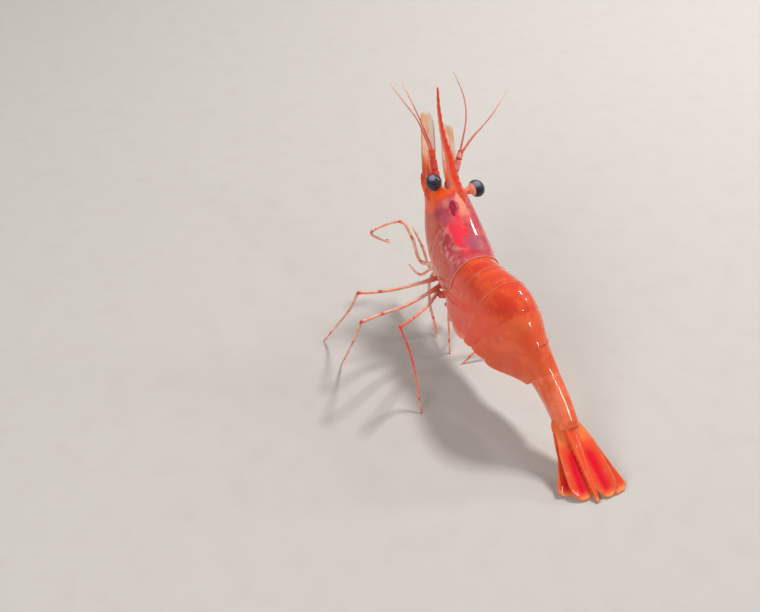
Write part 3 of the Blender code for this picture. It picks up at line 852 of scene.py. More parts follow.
class SHRIMP_OT_beak(bpy.types.Operator):
    """Model the crest of the head shield and the toothed beak that it runs into"""

    bl_idname = "shrimp.beak"
    bl_label = "Beak"

    def execute(self, context):
        tall = context.scene.shrimp_sizes.tooth / MM
        points = [Station(s).at(0, 0.3) for s in (10.0, 10.6, 11.2, 11.8)]
        line = course(points + [head(0.0, 0.2, 4.0)] + [head(*point) for point in BEAK_LINE], 20)
        rows = 14 * BEAK_TEETH
        stops = stops_along(line, rows, HEAD_RIGHT)

        def tooth(w):
            """How far a tooth has risen here; each rises slowly forward and ends sharply."""
            step = (w - TEETH_FROM) / (TEETH_TO - TEETH_FROM) * BEAK_TEETH
            if not 0 <= step < BEAK_TEETH:
                return 0.0
            return (step - floor(step)) ** 1.6 * (1 - 0.55 * w) * ease(-0.05, 0.2, w)

        def shape(u, w):
            at, side, up, ahead = stops[round(w * rows)]
            up = -up if up.dot(HEAD_UP) < 0 else up
            t = max(0.0, (w - CREST) / (1 - CREST))
            height = 0.10 + 1.50 * ease(0, CREST, w) * (1 - t) ** 0.8 * (1 - 0.12 * t)
            low = 0.45 + 1.20 * ease(CREST - 0.08, CREST + 0.1, w) * (1 - t) ** 0.8
            wide = curve(((0, 1.85), (0.20, 1.65), (0.36, 1.0), (0.6, 0.42), (1, 0.1)), t)
            wide = 0.18 + wide * ease(0, CREST, w)
            a = 2 * pi * u
            rise, bend = sin(a), cos(a)
            x = wide * copysign(abs(bend) ** 1.7, bend) + 0.10 * bend
            z = rise * (height if rise > 0 else low)
            # Teeth stand on the upper edge all along it and on the front half of the lower edge.
            lean = 0.0
            if rise > 0.75:
                z += tooth(w) * tall
                lean = 0.55 * tooth(w)
            if rise < -0.75 and w > 0.50:
                z -= tooth((w - 0.04) * 1.02) * tall * 0.7
                lean = 0.4 * tooth(w)
            if w in (0.0, 1.0):
                x, z = 0.0, 0.0
            return at + side * x + up * z + ahead * lean

        def tint(u, w):
            ridge = abs(cos(2 * pi * u)) ** 3 * (1 - ease(0.75, 1.0, w))
            top = max(0.0, sin(2 * pi * u)) ** 2 * ease(0.1, 0.4, w)
            return 0.55 * ridge - 0.5 * top

        mesh = skin(24, rows, shape, tint)
        to_piece("beak", mesh, ["beak_cuticle"], ["rostrum"])
        return {"FINISHED"}


# The tail's plates. For each: rear and front place along the body, how far its side plate spreads
# backward and forward at the hem, how far its sides stand out, and its hem at its rear, middle and
# front as shares of the depth. The second plate's sides lie over those of the first and third.
PLATES = {
    1: (7.0, 8.0, 0.10, 0.10, 0.0, (0.92, 0.96, 0.90)),
    2: (6.0, 7.0, 0.35, 0.25, 0.12, (0.96, 0.97, 0.93)),
    3: (4.0, 6.0, 0.15, 0.15, 0.0, (1.05, 1.00, 0.92)),
    4: (3.0, 4.0, 0.20, 0.10, 0.05, (1.09, 1.10, 1.02)),
    5: (2.0, 3.0, 0.12, 0.10, 0.03, (1.26, 1.38, 1.20)),
    6: (0.0, 2.0, 0.06, 0.00, 0.0, (1.00, 0.92, 0.90)),
}


class SHRIMP_OT_tail_plates(bpy.types.Operator):
    """Model the six overlapping plates of the tail"""

    bl_idname = "shrimp.tail_plates"
    bl_label = "Tail plates"

    def execute(self, context):
        sizes = context.scene.shrimp_sizes
        for number, (rear, front, spread_back, spread_ahead, stand, hems) in PLATES.items():

            # Each plate overlaps the next behind it and tucks in under the one before it.
            def edges(turn):
                low = ease(0.45, 0.95, abs(turn))
                return rear - 0.10 - spread_back * low, front + 0.16 + (spread_ahead - 0.10) * low

            def hem(s, w, turn):
                corner = abs(2 * w - 1) ** 3.5
                return blend(hems, 2 * w) - (0.10 if w < 0.5 else 0.04) * corner

            def out(s, w, turn):
                flare = sizes.flare / MM * ((1 - ease(0.0, 0.16, w)) - 1.6 * ease(0.72, 0.92, w))
                flare *= 0.3 if number > 3 else 0.55
                groove = -0.08 * bell(w, 0.17, 0.03) if number < 4 else 0.0
                keel = 0.0
                # The third plate is pinched to a low keel; the last is tucked in over the telson.
                if number == 3:
                    keel = 0.16 * max(0.0, 1 - abs(turn) / 0.07) ** 2 * (1 - ease(0.35, 0.75, w))
                if number == 6:
                    keel = -0.35 * (1 - ease(0.0, 0.12, w)) ** 2
                sides = stand * ease(0.5, 0.85, abs(turn))
                bead = 0.10 * (1 - ease(0, 0.03, 1 - abs(turn)))
                return flare + groove + keel + sides + bead

            def tint(u, w):
                rim = 0.6 * (1 - ease(0.004, 0.03, w))
                hems = 0.55 * (1 - ease(0.01, 0.05, min(u, 1 - u)))
                return max(rim, hems) * (0.35 if number > 2 else 1.0)

            rows = round(26 * (front - rear) + 24)
            mesh = shell_plate(88, rows, edges, hem, out, tint, sizes.wall / MM)
            finish = ("front" if number < 4 else "middle" if number < 6 else "rear") + "_tail_cuticle"
            to_piece(f"tail_plate_{number}", mesh, [finish], [f"abdomen_{number}"], 50)
        return {"FINISHED"}


class SHRIMP_OT_underside(bpy.types.Operator):
    """Model the soft body under the shell, with the ribbed belly and the face"""

    bl_idname = "shrimp.underside"
    bl_label = "Underside"

    def execute(self, context):
        rows = 220
        over_back = 0.72  # share of each ring that runs over the back; the rest is the belly
        face = 0.955  # where the body starts to round off into the face

        def shape(u, w):
            s = -0.02 + 12.42 * w
            station = Station(s)
            hem = 0.90 + 0.16 * bell(s, 2.9, 0.9)
            rib = 0.35 * cos(2 * pi * s) * ease(0.5, 1.5, s)
            top = station.depth - station.hollow - rib
            low = station.depth * hem
            half = station.width / 2 - SKIN_DEPTH
            if u < over_back:
                point = station.flank(2 * u / over_back - 1, hem, -SKIN_DEPTH)
            else:
                side = 1 - 2 * (u - over_back) / (1 - over_back)
                inner = abs(side)
                x = curve(((0, 0), (0.6, BELLY_FLOOR), (0.85, BELLY_EDGE), (1, 0.84)), inner)
                roof = ((0, top + 0.5), (0.45, top + 0.2), (0.6, top + 0.6), (0.85, low), (1, low))
                point = station.at(copysign(x, side) * half, curve(roof, inner))
            middle = station.at(0, station.depth * 0.45)
            round_off = sqrt(max(0.0, 1 - max(0.0, (w - face) / (1 - face)) ** 4))
            close = 0.0 if w in (0.0, 1.0) else round_off * sqrt(ease(-0.004, 0.012, w))
            return middle.lerp(point, close)

        def tint(u, w):
            return -0.9 * ease(face, 0.985, w)

        mesh = skin(72, rows, shape, tint)
        to_piece("soft_body", mesh, ["soft_skin"], ())
        return {"FINISHED"}


STALK_ROOT = (1.7, 4.2, 1.9)
STALK_JOINT = 0.42
STALK_GIRTHS = ((0, 1.0), (0.25, 0.85), (0.45, 0.9), (0.62, 1.05), (0.8, 1.35), (1.0, 1.6))
# Shares of the eye's radius: across, from back to front and along the line of its stalk.
EYE_SHAPE = (0.92, 1.10, 0.94)
EYE_DEPTH = 0.3  # how far the eye's middle is drawn back toward its stalk
EYE_PAINTED_SHEEN = Vector((-0.30, -0.25, 0.92))  # the way the eye's painted sheen faces: a bluish reflection of the sky painted on the facets that face it
CUP_EDGE = -0.66  # where the cornea ends along the stalk's line, as a share of the eye's radius


class SHRIMP_OT_eyes(bpy.types.Operator):
    """Model the stalked eyes"""

    bl_idname = "shrimp.eyes"
    bl_label = "Eyes"

    def execute(self, context):
        radius = context.scene.shrimp_sizes.eye / MM
        for side, sign in SIDES.items():
            across, down, ahead = STALK_ROOT
            centre, foot = head(*EYES[side]), head(sign * across, down, ahead)
            mesh = bmesh.new()
            mesh.loops.layers.uv.new(SHAPE_MAP)
            bmesh.ops.create_uvsphere(mesh, u_segments=56, v_segments=40, radius=1.0, calc_uvs=True)
            # A shallow groove rings the eye where the cornea meets its cup, and the cup narrows.
            for vert in mesh.verts:
                groove = 1 - 0.045 * bell(vert.co.z, CUP_EDGE - 0.04, 0.05)
                cup = 1 - 0.10 * ease(CUP_EDGE, -1.0, vert.co.z)
                vert.co = vert.co * Vector((groove * cup, groove * cup, 1)) * Vector(EYE_SHAPE) * radius
            for face in mesh.faces:
                face.material_index = int(face.calc_center_median().z < CUP_EDGE * radius * EYE_SHAPE[2])
            outward = (centre - foot).normalized()
            across = HEAD_AHEAD.cross(outward).normalized()
            turned = Matrix((across, outward.cross(across), outward)).transposed().to_4x4()
            middle = Matrix.Translation(centre - outward * EYE_DEPTH)
            bmesh.ops.transform(mesh, matrix=middle @ turned, verts=mesh.verts)
            # A painted sheen: the facets that face up and toward the camera get a pale bluish reflection of
            # the sky painted into their colour, through the tint attribute.
            painted_sheen = mesh.verts.layers.float.new("tint")
            for vert in mesh.verts:
                vert[painted_sheen] = ease(0.76, 1.0, (vert.co - centre).normalized().dot(EYE_PAINTED_SHEEN))
            to_piece(f"eye_{side}", mesh, ["cornea", "eye_cup"], [f"eye_{side}"])

            line = course([foot - outward, foot, centre.lerp(foot, 0.2)], 20)

            def girth(w):
                return curve(STALK_GIRTHS, w) * (1 - 0.15 * bell(w, STALK_JOINT, 0.03))

            def tint(w):
                return 0.5 * ease(0.7, 1.0, w) - 0.4 * bell(w, STALK_JOINT, 0.05)

            mesh = limb(line, girth, tint, 24, 40)
            to_piece(f"eyestalk_{side}", mesh, ["stalk_cuticle"], [f"eyestalk_{side}"])
        return {"FINISHED"}


ANTENNULE_ROOT = (1.6, 7.3, 2.8)
STEM_JOINTS = (0.55, 0.79)
STEM_PALE = {"left": 0.15, "right": 0.5}  # how pale the stems are between their joints
# For each side: the end of the jointed stem, then its two feelers. A feeler starts beside the
# middle of the stem's end, by the number given first, and runs through the places that follow.
ANTENNULES = {
    "left": (
        (-6.8, -1.6, 15.4),
        {
            "outer": (-0.55, [(-11.6, -5.0, 23.5), (-15.2, -5.7, 30.5), (-18.9, -6.1, 38)]),
            "inner": (0.55, [(-10.2, -4.8, 25), (-12.4, -6.3, 31), (-14.8, -7.7, 38)]),
        },
    ),
    "right": (
        (5.7, -2.7, 16.3),
        {
            "outer": (0.55, [(10.2, -5.2, 20.4), (15.3, -7.4, 25), (20.4, -10.3, 30), (26.4, -15.0, 37.6)]),
            "inner": (-0.55, [(7.1, -8.5, 25), (7.2, -11.6, 33), (2.8, -15.5, 40)]),
        },
    ),
}


def joint_bulge(w, joints, swell, spread):
    """1 along a limb, more just before each joint, and less in the groove at the joint."""
    size = 1.0
    for joint in joints:
        size += swell * bell(w, joint - spread * 0.9, spread) - 0.30 * bell(w, joint + 0.004, spread * 0.3)
    return size


class SHRIMP_OT_antennules(bpy.types.Operator):
    """Model the first feelers: a jointed stem with a side spine, and two ringed feelers each"""

    bl_idname = "shrimp.antennules"
    bl_label = "First feelers"

    def execute(self, context):
        for side, sign in SIDES.items():
            end, feelers = ANTENNULES[side]
            across, down, ahead = ANTENNULE_ROOT
            base, top = head(sign * across, down, ahead), head(*end)
            line = course([base, base.lerp(top, 0.5) - HEAD_UP * 0.3, top], 20)

            def girth(w):
                body = curve(((0, 1.2), (0.1, 1.55), (0.5, 1.42), (0.8, 1.2), (0.97, 1.1), (1.0, 0.8)), w)
                return body * joint_bulge(w, STEM_JOINTS, 0.08, 0.05)

            def tint(w):
                return STEM_PALE[side] - 0.5 * max(bell(w, joint, 0.03) for joint in (*STEM_JOINTS, 0.97))

            stem = limb(line, girth, tint, 18, 70, 0.8, HEAD_RIGHT)
            outward = HEAD_RIGHT * sign
            spine = course([base.lerp(top, 0.08) + outward, base.lerp(top, 0.4) + outward * 2.0], 12)
            spike = limb(spine, lambda w: 0.6 * (1 - w) ** 0.7, lambda w: -0.3, 10, 16, 0.45, HEAD_RIGHT)
            node = f"antennule_{side}"
            to_piece(node, join([stem, spike]), ["stem_cuticle"], [node])
            for name, (offset, places) in feelers.items():
                start = (end[0] + offset, end[1], end[2] - 0.3)
                line = course([head(*point) for point in [start] + places], 24)
                thick = 0.46 if name == "outer" else 0.36

                def fine(w):
                    thinned = ease(0, 0.5, w)
                    return (thick * (1 - thinned) + 0.24 * thinned) * (1 - 0.45 * ease(0.8, 1.0, w))

                mesh = limb(line, fine, lambda w: 0.8 * ease(0.3, 1.0, w), 8, 110)
                node = f"antennule_{side}_{name}_feeler"
                to_piece(node, mesh, ["ringed_cuticle"], [node])
        return {"FINISHED"}


# Root, middle and tip of the broad scale of each second antenna.
SCALES = {
    "left": ((-5.9, 6.4, 7.4), (-5.4, 1.2, 16.5), (-5.3, -4.7, 29.5)),
    "right": ((5.4, 7.6, 7.4), (5.4, 3.7, 16.5), (5.3, -1.8, 28.7)),
}
SCALE_WIDTHS = (3.6, 5.2, 5.9, 5.9, 5.6, 5.0)
ANTENNA_ROOT = (3.4, 8.6, 0.2)
ANTENNA_GIRTHS = (
    (0, 1.9),
    (0.05, 2.5),
    (0.18, 2.15),
    (0.25, 1.6),
    (0.33, 1.2),
    (0.42, 0.95),
    (0.46, 0.58),
    (1.0, 0.3),
)
ANTENNA_CLEARANCE = 2.6  # how far the antenna's short feeler runs below the scale


class SHRIMP_OT_antennae(bpy.types.Operator):
    """Model the second antennae: the broad scale, the stout spined base and the short feeler"""

    bl_idname = "shrimp.antennae"
    bl_label = "Second antennae"

    def execute(self, context):
        rows = 72
        for side, sign in SIDES.items():
            base, middle, point = (Vector(place) for place in SCALES[side])
            line = course([head(*place) for place in (base, middle, point)], 30)

            def half(w, across):
                wide = blend(SCALE_WIDTHS, 5 * w) / 2
                outer = across * sign > 0
                return wide * root(w, 0.12, 0.55) * tip(w, 0.05 if outer else 0.16)

            def thick(w, across):
                rib = 0.24 * bell(across * sign, 0.88, 0.10) * (1 - 0.4 * w)
                mid = 0.10 * bell(across * sign, 0.25, 0.07) * (1 - w)
                return 0.13 + rib + mid

            shape = leaf_shape(line, HEAD_RIGHT, half, thick, rows, 0.045)

            def tint(u, w):
                across = cos(2 * pi * u) * sign
                midrib = bell(across, 0.12, 0.07) * (1 - ease(0.85, 0.97, w))
                rib = max(0.7 * bell(across, 0.95, 0.14), midrib)
                clear = 0.7 * ease(0.15, -0.15, across) * ease(0.2, 0.5, w) * (1.0 if sign < 0 else 0.3)
                return max(clear, 0.9 * ease(0.90, 1.0, w)) * (1 - rib) - 0.8 * rib * (1 - 0.35 * w)

            mesh = skin(80, rows, shape, tint)
            node = f"antennal_scale_{side}"
            to_piece(node, mesh, ["scale_membrane"], [node])

            fringe = new_fringe()
            spacing = context.scene.shrimp_sizes.spacing / MM
            inner = 0.5 if sign > 0 else 0.0
            fringe_leaf(fringe, shape, inner, 0.16, 0.985, 0.8, spacing, 0.6, rows)
            to_piece(f"scale_fringe_{side}", fringe, ["bristle_horn"], ())

            across, down, ahead = ANTENNA_ROOT
            places = [(sign * across, down, ahead), (sign * (across + 0.6), down, ahead + 4.0)]
            for place in (base.lerp(middle, 0.25), middle, middle.lerp(point, 0.7)):
                places.append(place + Vector((0, ANTENNA_CLEARANCE, 0)))
            line = course([head(*place) for place in places], 24)

            def girth(w):
                return curve(ANTENNA_GIRTHS, w) * joint_bulge(w, (0.21, 0.35, 0.45), 0.08, 0.02)

            def stain(w):
                return -0.5 * bell(w, 0.21, 0.02) - 0.6 * bell(w, 0.44, 0.02)

            stout = limb(line, girth, stain, 18, 90)
            outer = HEAD_RIGHT * sign
            start = line[0] + outer * 1.6 + HEAD_UP * 0.6 + HEAD_AHEAD * 3.0
            spike = course([start, start + outer * 0.7 + HEAD_AHEAD * 2.4], 10)
            spine = limb(spike, lambda w: 0.55 * (1 - w) ** 0.8, lambda w: -0.9, 8, 12)
            node = f"antenna_{side}"
            to_piece(node, join([stout, spine]), ["cheek_cuticle"], [node])
        return {"FINISHED"}


class SHRIMP_OT_mouthparts(bpy.types.Operator):
    """Model the bunched jaws: overlapping small plates in front of the mouth"""

    bl_idname = "shrimp.mouthparts"
    bl_label = "Mouthparts"

    def execute(self, context):
        rows = 24
        lump = course([head(0, 10.0, 2.2), head(0, 11.0, 5.2), head(0, 11.0, 7.6)], 12)

        def girth(w):
            return 2.1 * sqrt(max(0.0, 1 - (2 * w - 1) ** 2)) + 0.02

        def tint(u, w):
            return 0.3 * ease(0.6, 1, w) - 0.5 * (1 - ease(0.1, 0.6, w))

        parts = [limb(lump, girth, lambda w: -0.6, 18, rows)]
        fringe = new_fringe()
        for k in range(4):
            for sign in SIDES.values():
                start = head(sign * (0.7 + 0.55 * k), 12.9 - 0.7 * k, 1.8 + 0.4 * k)
                end = head(sign * (0.45 + 0.30 * k), 12.3 - 0.5 * k, 8.9 - 0.25 * k)
                line = course([start, start.lerp(end, 0.5) - HEAD_UP * 0.6, end], 10)
                shape = leaf_shape(
                    line,
                    HEAD_RIGHT,
                    lambda w, across: 1.1 * root(w, 0.3, 0.5) * tip(w, 0.45),
                    lambda w, across: 0.2,
                    rows,
                    0.12,
                )
                parts.append(skin(16, rows, shape, tint))
                for edge in (0.0, 0.5):
                    fringe_leaf(fringe, shape, edge, 0.45, 0.98, 0.6, 0.3, 0.6, rows)
        to_piece("mouth_bristles", fringe, ["bristle_horn"], ())
        to_piece("mouthparts", join(parts), ["leg_cuticle"], ["mouthparts"])
        return {"FINISHED"}


HIP_SPREAD = 0.12  # distance of a hip from the midline, share of the body's width
HEM_SPREAD = 0.30  # where a leg passes below the head shield's lower edge, share of the width
HEM_CLEARANCE = 1.6


def hip(s, sign, radius):
    """Where a limb leaves the underside of the thorax."""
    station = Station(s)
    return station.at(sign * station.width * HIP_SPREAD, station.depth - station.hollow + radius - 0.4)


def past_hem(s, sign):
    """A point just below and inside the head shield's lower edge."""
    station = Station(s)
    return station.at(sign * station.width * HEM_SPREAD, station.depth + HEM_CLEARANCE)


# The walking legs. For each: its place along the body, the points of its upper part after the hem,
# ending at the knee, and those of its lower part after the knee. Points are in millimetres from the
# tail's tip: x to the right, y toward the head and z above the floor.
WALKING_LEGS = {
    (3, "left"): (
        9.35,
        [(-27.3, 85.8, 24), (-36.8, 83.7, 27), (-42.4, 83.0, 29)],
        [(-43.7, 88.2, 18), (-46.5, 93.3, 8), (-50.8, 96.1, -0.5)],
    ),
    (4, "left"): (
        9.0,
        [(-27.4, 78.0, 23), (-38.5, 72.6, 27), (-46.7, 69.2, 29)],
        [(-47.4, 74.4, 17), (-48.2, 79.9, 6), (-49.0, 82.9, -0.5)],
    ),
    (5, "left"): (
        8.65,
        [(-15.0, 80.6, 22.5), (-20.6, 75.2, 23.5), (-29.6, 67.2, 27), (-36.9, 61.5, 30)],
        [(-33.4, 62.0, 19), (-32.4, 59.0, 11), (-33.2, 51.2, -0.5)],
    ),
    (3, "right"): (9.35, [(4, 91, 23), (10, 91, 21)], [(14, 92, 10), (15.5, 93, -0.5)]),
    (4, "right"): (
        9.0,
        [(1, 88, 21), (-2, 96, 18)],
        [(-8.5, 85, 12), (-11.5, 78, 7), (-12.8, 73.6, -0.5)],
    ),
    (5, "right"): (8.65, [(6, 77, 21), (9, 71, 14)], [(0, 69.5, 7.5), (-11.7, 67.5, -0.5)]),
}
CLAW_SHARE = 0.16  # the claw's share of a leg's lower part
LEG_GIRTHS = ((0, 1.5), (0.07, 1.15), (0.16, 0.62), (0.5, 0.52), (0.7, 0.42))  # down to the claw


def places_of(line, points):
    """How far along a dense line, from 0 to 1, it passes each of some points."""
    lengths = lengths_along(line)
    near = [min(range(len(line)), key=lambda k: (line[k] - Vector(point)).length) for point in points]
    return [lengths[k] / lengths[-1] for k in near]


SPINE_TURN = 2.4  # radians from one spine to the next, so that they stand on all sides
SPINE_THICKNESS = 0.07


def spinules(mesh, line, places, out, long=0.5):
    """Small stiff spines on a leg at some places along it, leaning toward its tip."""
    rows = 200
    stops = stops_along(line, rows)
    for k, w in enumerate(places):
        at, side, up, ahead = stops[round(w * rows)]
        away = side * cos(SPINE_TURN * k) + up * sin(SPINE_TURN * k)
        along = (away * 0.8 + ahead).normalized()
        add_bristle(mesh, at + away * out * 0.7, along, long, SPINE_THICKNESS, (0.5, w * 0.99))


class SHRIMP_OT_walking_legs(bpy.types.Operator):
    """Model the six long walking legs, each from hip to claw"""

    bl_idname = "shrimp.walking_legs"
    bl_label = "Walking legs"

    def execute(self, context):
        for (number, side), (s, upper, lower) in WALKING_LEGS.items():
            sign = SIDES[side]
            thigh = course([hip(s, sign, 0.8), past_hem(s, sign)] + upper, 16)
            shin = course([upper[-1]] + lower, 16)
            line = thigh + shin[1:]
            knee = places_of(line, [upper[-1]])[0]
            claw = 1 - CLAW_SHARE * (1 - knee)
            joints = [places_of(line, [past_hem(s, sign)])[0], knee, claw] + places_of(line, lower[:1])
            # Red bands lie at the joints and a little above the knee; the last leg is redder.
            bands = joints + [knee - 0.12]
            redness = 1.2 if number == 5 else 0.35

            def girth(w):
                body = curve((*LEG_GIRTHS, (claw, 0.34), (1, 0.16)), w)
                return body * joint_bulge(w, joints, 0.25, 0.012)

            def tint(w):
                red = max(bell(w, band, 0.014) for band in bands)
                root_red = 0.9 * (1 - ease(0.07, 0.22, w))
                stain = 0.6 * redness * ease(knee - 0.2, knee, w) * (1 - ease(0.75, 0.95, w) * 0.6)
                return -max(red * 0.8, root_red, stain, 0.8 * ease(claw, 1.0, w))

            mesh = limb(line, girth, tint, 12, 260)
            nodes = [f"leg_{number}_{side}_upper", f"leg_{number}_{side}_lower"]
            to_piece(f"leg_{number}_{side}", mesh, ["leg_cuticle"], nodes)
            spines = new_fringe()
            places = [0.25 + 0.05 * k for k in range(8)] + [knee + 0.03 * k for k in range(8)]
            spinules(spines, line, places, 0.5)
            spinules(spines, line, [claw - 0.015 * k for k in range(8)], 0.36, 0.35)
            to_piece(f"leg_spines_{number}_{side}", spines, ["bristle_horn"], ())
        return {"FINISHED"}


# The limbs that are off the floor. For each: its place along the body, then its points after the
# hip, in millimetres from the tail's tip.
SMALL_LIMBS = {
    "leg_1_left": (10.05, [(-10.4, 96.0, 20), (-9.2, 106.8, 22), (-8.6, 116.6, 24)]),
    "leg_1_right": (10.05, [(-8.5, 98, 19), (-12.4, 101, 14.5), (-12.8, 110, 13)]),
    "leg_2_left": (
        9.7,
        [(-12.5, 99.5, 21), (-12.2, 109, 25), (-13.5, 117, 27), (-23.8, 118.5, 24), (-17.4, 116.2, 19)],
    ),
    "leg_2_right": (9.7, [(-10.5, 95, 18), (-12.9, 91, 10), (-12.8, 87.8, 5), (-13.0, 83.4, 0.6)]),
    "maxilliped_left": (10.8, [(-7.5, 104, 30), (-5.0, 114, 33)]),
    "maxilliped_right": (10.8, [(-1.5, 104, 28), (3.0, 114, 31)]),
}


class SHRIMP_OT_small_limbs(bpy.types.Operator):
    """Model the jaw feet, the first legs and the pincer legs with their many-ringed wrists"""

    bl_idname = "shrimp.small_limbs"
    bl_label = "Jaw feet and pincer legs"

    def execute(self, context):
        for name, (s, points) in SMALL_LIMBS.items():
            sign = SIDES[name.rsplit("_", 1)[1]]
            line = course([hip(s, sign, 0.6)] + points, 20)
            joints = places_of(line, points[:-1])
            pincer = name.startswith("leg_2")
            jaw = name.startswith("maxilliped")

            def girth(w):
                hand = 0.5 if pincer else 0.38
                body = curve(((0, 1.0), (0.12, 0.72), (0.5, 0.55), (0.85, 0.45), (0.94, hand), (1, 0.14)), w)
                wrist = ease(0.5, 0.6, w) * (1 - ease(0.86, 0.9, w))
                rings = 0.05 * sin(w * 160) * wrist if pincer else 0.0
                return (body * (1.25 if jaw else 1.0) + rings) * joint_bulge(w, joints, 0.2, 0.015)

            def tint(w):
                root_red = 0.7 * (1 - ease(0.05, 0.2, w))
                return -max([0.8 * bell(w, joint, 0.016) for joint in joints] + [root_red])

            parts = [limb(line, girth, tint, 12, 180)]
            if pincer:
                at, end = line[-6], line[-1]
                away = (end - at).normalized().orthogonal() * 0.5
                finger = course([at + away * 0.4, at.lerp(end, 0.5) + away * 1.3, end + away * 0.3], 8)
                parts.append(limb(finger, lambda w: 0.26 * (1 - w) ** 0.6 + 0.03, lambda w: -0.4, 8, 14))
            to_piece(name, join(parts), ["leg_cuticle"], [name])
            spines = new_fringe()
            count, long = (40, 0.8) if jaw else (14, 0.45)
            spinules(spines, line, [0.3 + 0.68 * k / count for k in range(count)], 0.4, long)
            to_piece(f"{name}_bristles", spines, ["bristle_horn"], ())
        return {"FINISHED"}


# For each somite: where its swimmerets start along the body, and how far their tips hang below it.
SWIMMERETS = {5: (2.5, 2.6), 4: (3.4, 2.6), 3: (5.0, 0.8), 2: (6.5, 0.8), 1: (7.5, 0.8)}
SWIMMERET_REACH = 0.85  # how far forward the tips reach, in steps of the rings
SWIMMERET_WIDTH = 0.2  # share of the body's width
# The two blades of each: how far out they stand and how wide they are, as shares of that width,
# and how far they reach, as a share of the way to the tip.
SWIMMERET_BLADES = ((0.35, 1.0, 0.52), (-0.30, 0.93, 0.44))


class SHRIMP_OT_swimmerets(bpy.types.Operator):
    """Model the swimmerets: a stout stem and two fringed blades each"""

    bl_idname = "shrimp.swimmerets"
    bl_label = "Swimmerets"

    def execute(self, context):
        spacing = context.scene.shrimp_sizes.spacing / MM
        rows = 40

        def thick(w, across):
            return 0.13 + 0.14 * bell(across, 0.0, 0.25) * (1 - w)

        def tint(u, w):
            return 0.5 * ease(0.5, 1.0, w) - 0.5 * (1 - ease(0, 0.3, w))

        for number, (s, drop) in SWIMMERETS.items():
            for side, sign in SIDES.items():
                back, ahead = Station(s), Station(s + SWIMMERET_REACH)
                start = back.at(sign * back.width * 0.14, back.depth - back.hollow + 0.2)
                end = ahead.at(sign * ahead.width * 0.24, ahead.depth + drop)
                knee = start.lerp(end, 0.3) - back.dorsal * 1.2
                wide = back.width * SWIMMERET_WIDTH

                def girth(w):
                    return wide * (0.34 + 0.1 * sin(pi * w))

                stem = course([start, knee, knee.lerp(end, 0.25)], 12)
                parts = [limb(stem, girth, lambda w: -0.5 * (1 - w), 14, 24, 0.55, back.right)]
                fringe = new_fringe()
                for offset, reach, share in SWIMMERET_BLADES:

                    def half(w, across):
                        return wide * share * root(w, 0.3, 0.4) * tip(w, 0.6)

                    last = knee.lerp(end, reach) + ahead.right * sign * offset * wide
                    first = knee.lerp(end, 0.18) + back.right * sign * offset * wide * 0.4
                    middle = first.lerp(last, 0.5) - back.dorsal * (0.35 + 0.3 * offset)
                    shape = leaf_shape(course([first, middle, last], 14), back.right, half, thick, rows, 0.05)
                    parts.append(skin(24, rows, shape, tint))
                    for edge in (0.0, 0.5):
                        fringe_leaf(fringe, shape, edge, 0.25, 0.97, 0.9, spacing * 2, 0.7, rows)
                name = f"swimmeret_{number}_{side}"
                to_piece(name, join(parts), ["soft_skin"], [name])
                to_piece(f"{name}_fringe", fringe, ["bristle_horn"], ())
        return {"FINISHED"}


TELSON_TIP = (0.3, -0.6, 0.35)
# Half widths along the telson, in millimetres, and along a blade, as shares of its greatest width.
TELSON_HALVES = ((0, 2.8), (0.06, 2.5), (0.25, 1.9), (0.5, 1.3), (0.75, 0.95), (0.95, 0.7), (1, 0.5))
UROPOD_HALVES = ((0, 0.24), (0.1, 0.36), (0.3, 0.46), (0.6, 0.50), (0.85, 0.50), (1, 0.46))
# For each blade of the fan: its root across and down from the last somite's back, its tip in
# millimetres from the tail's tip, its greatest width and how far its middle bows to the right.
UROPODS = {
    ("left", "inner"): (-2.0, 3.2, (-2.8, 1.2, 0.35), 7.2, 0.0),
    ("left", "outer"): (-2.4, 4.8, (-7.0, 4.3, 0.3), 6.8, 1.6),
    ("right", "inner"): (1.9, 3.0, (4.9, -0.4, 0.35), 6.8, 0.0),
    ("right", "outer"): (2.8, 4.8, (8.3, -0.1, 0.3), 6.2, -0.6),
}
# The short stem that carries each pair of blades: across, down and ahead of the last somite's back.
FAN_STEM = ((2.0, 4.2, 3.2), (2.9, 4.8, 0.6), (2.9, 4.6, -2.6))


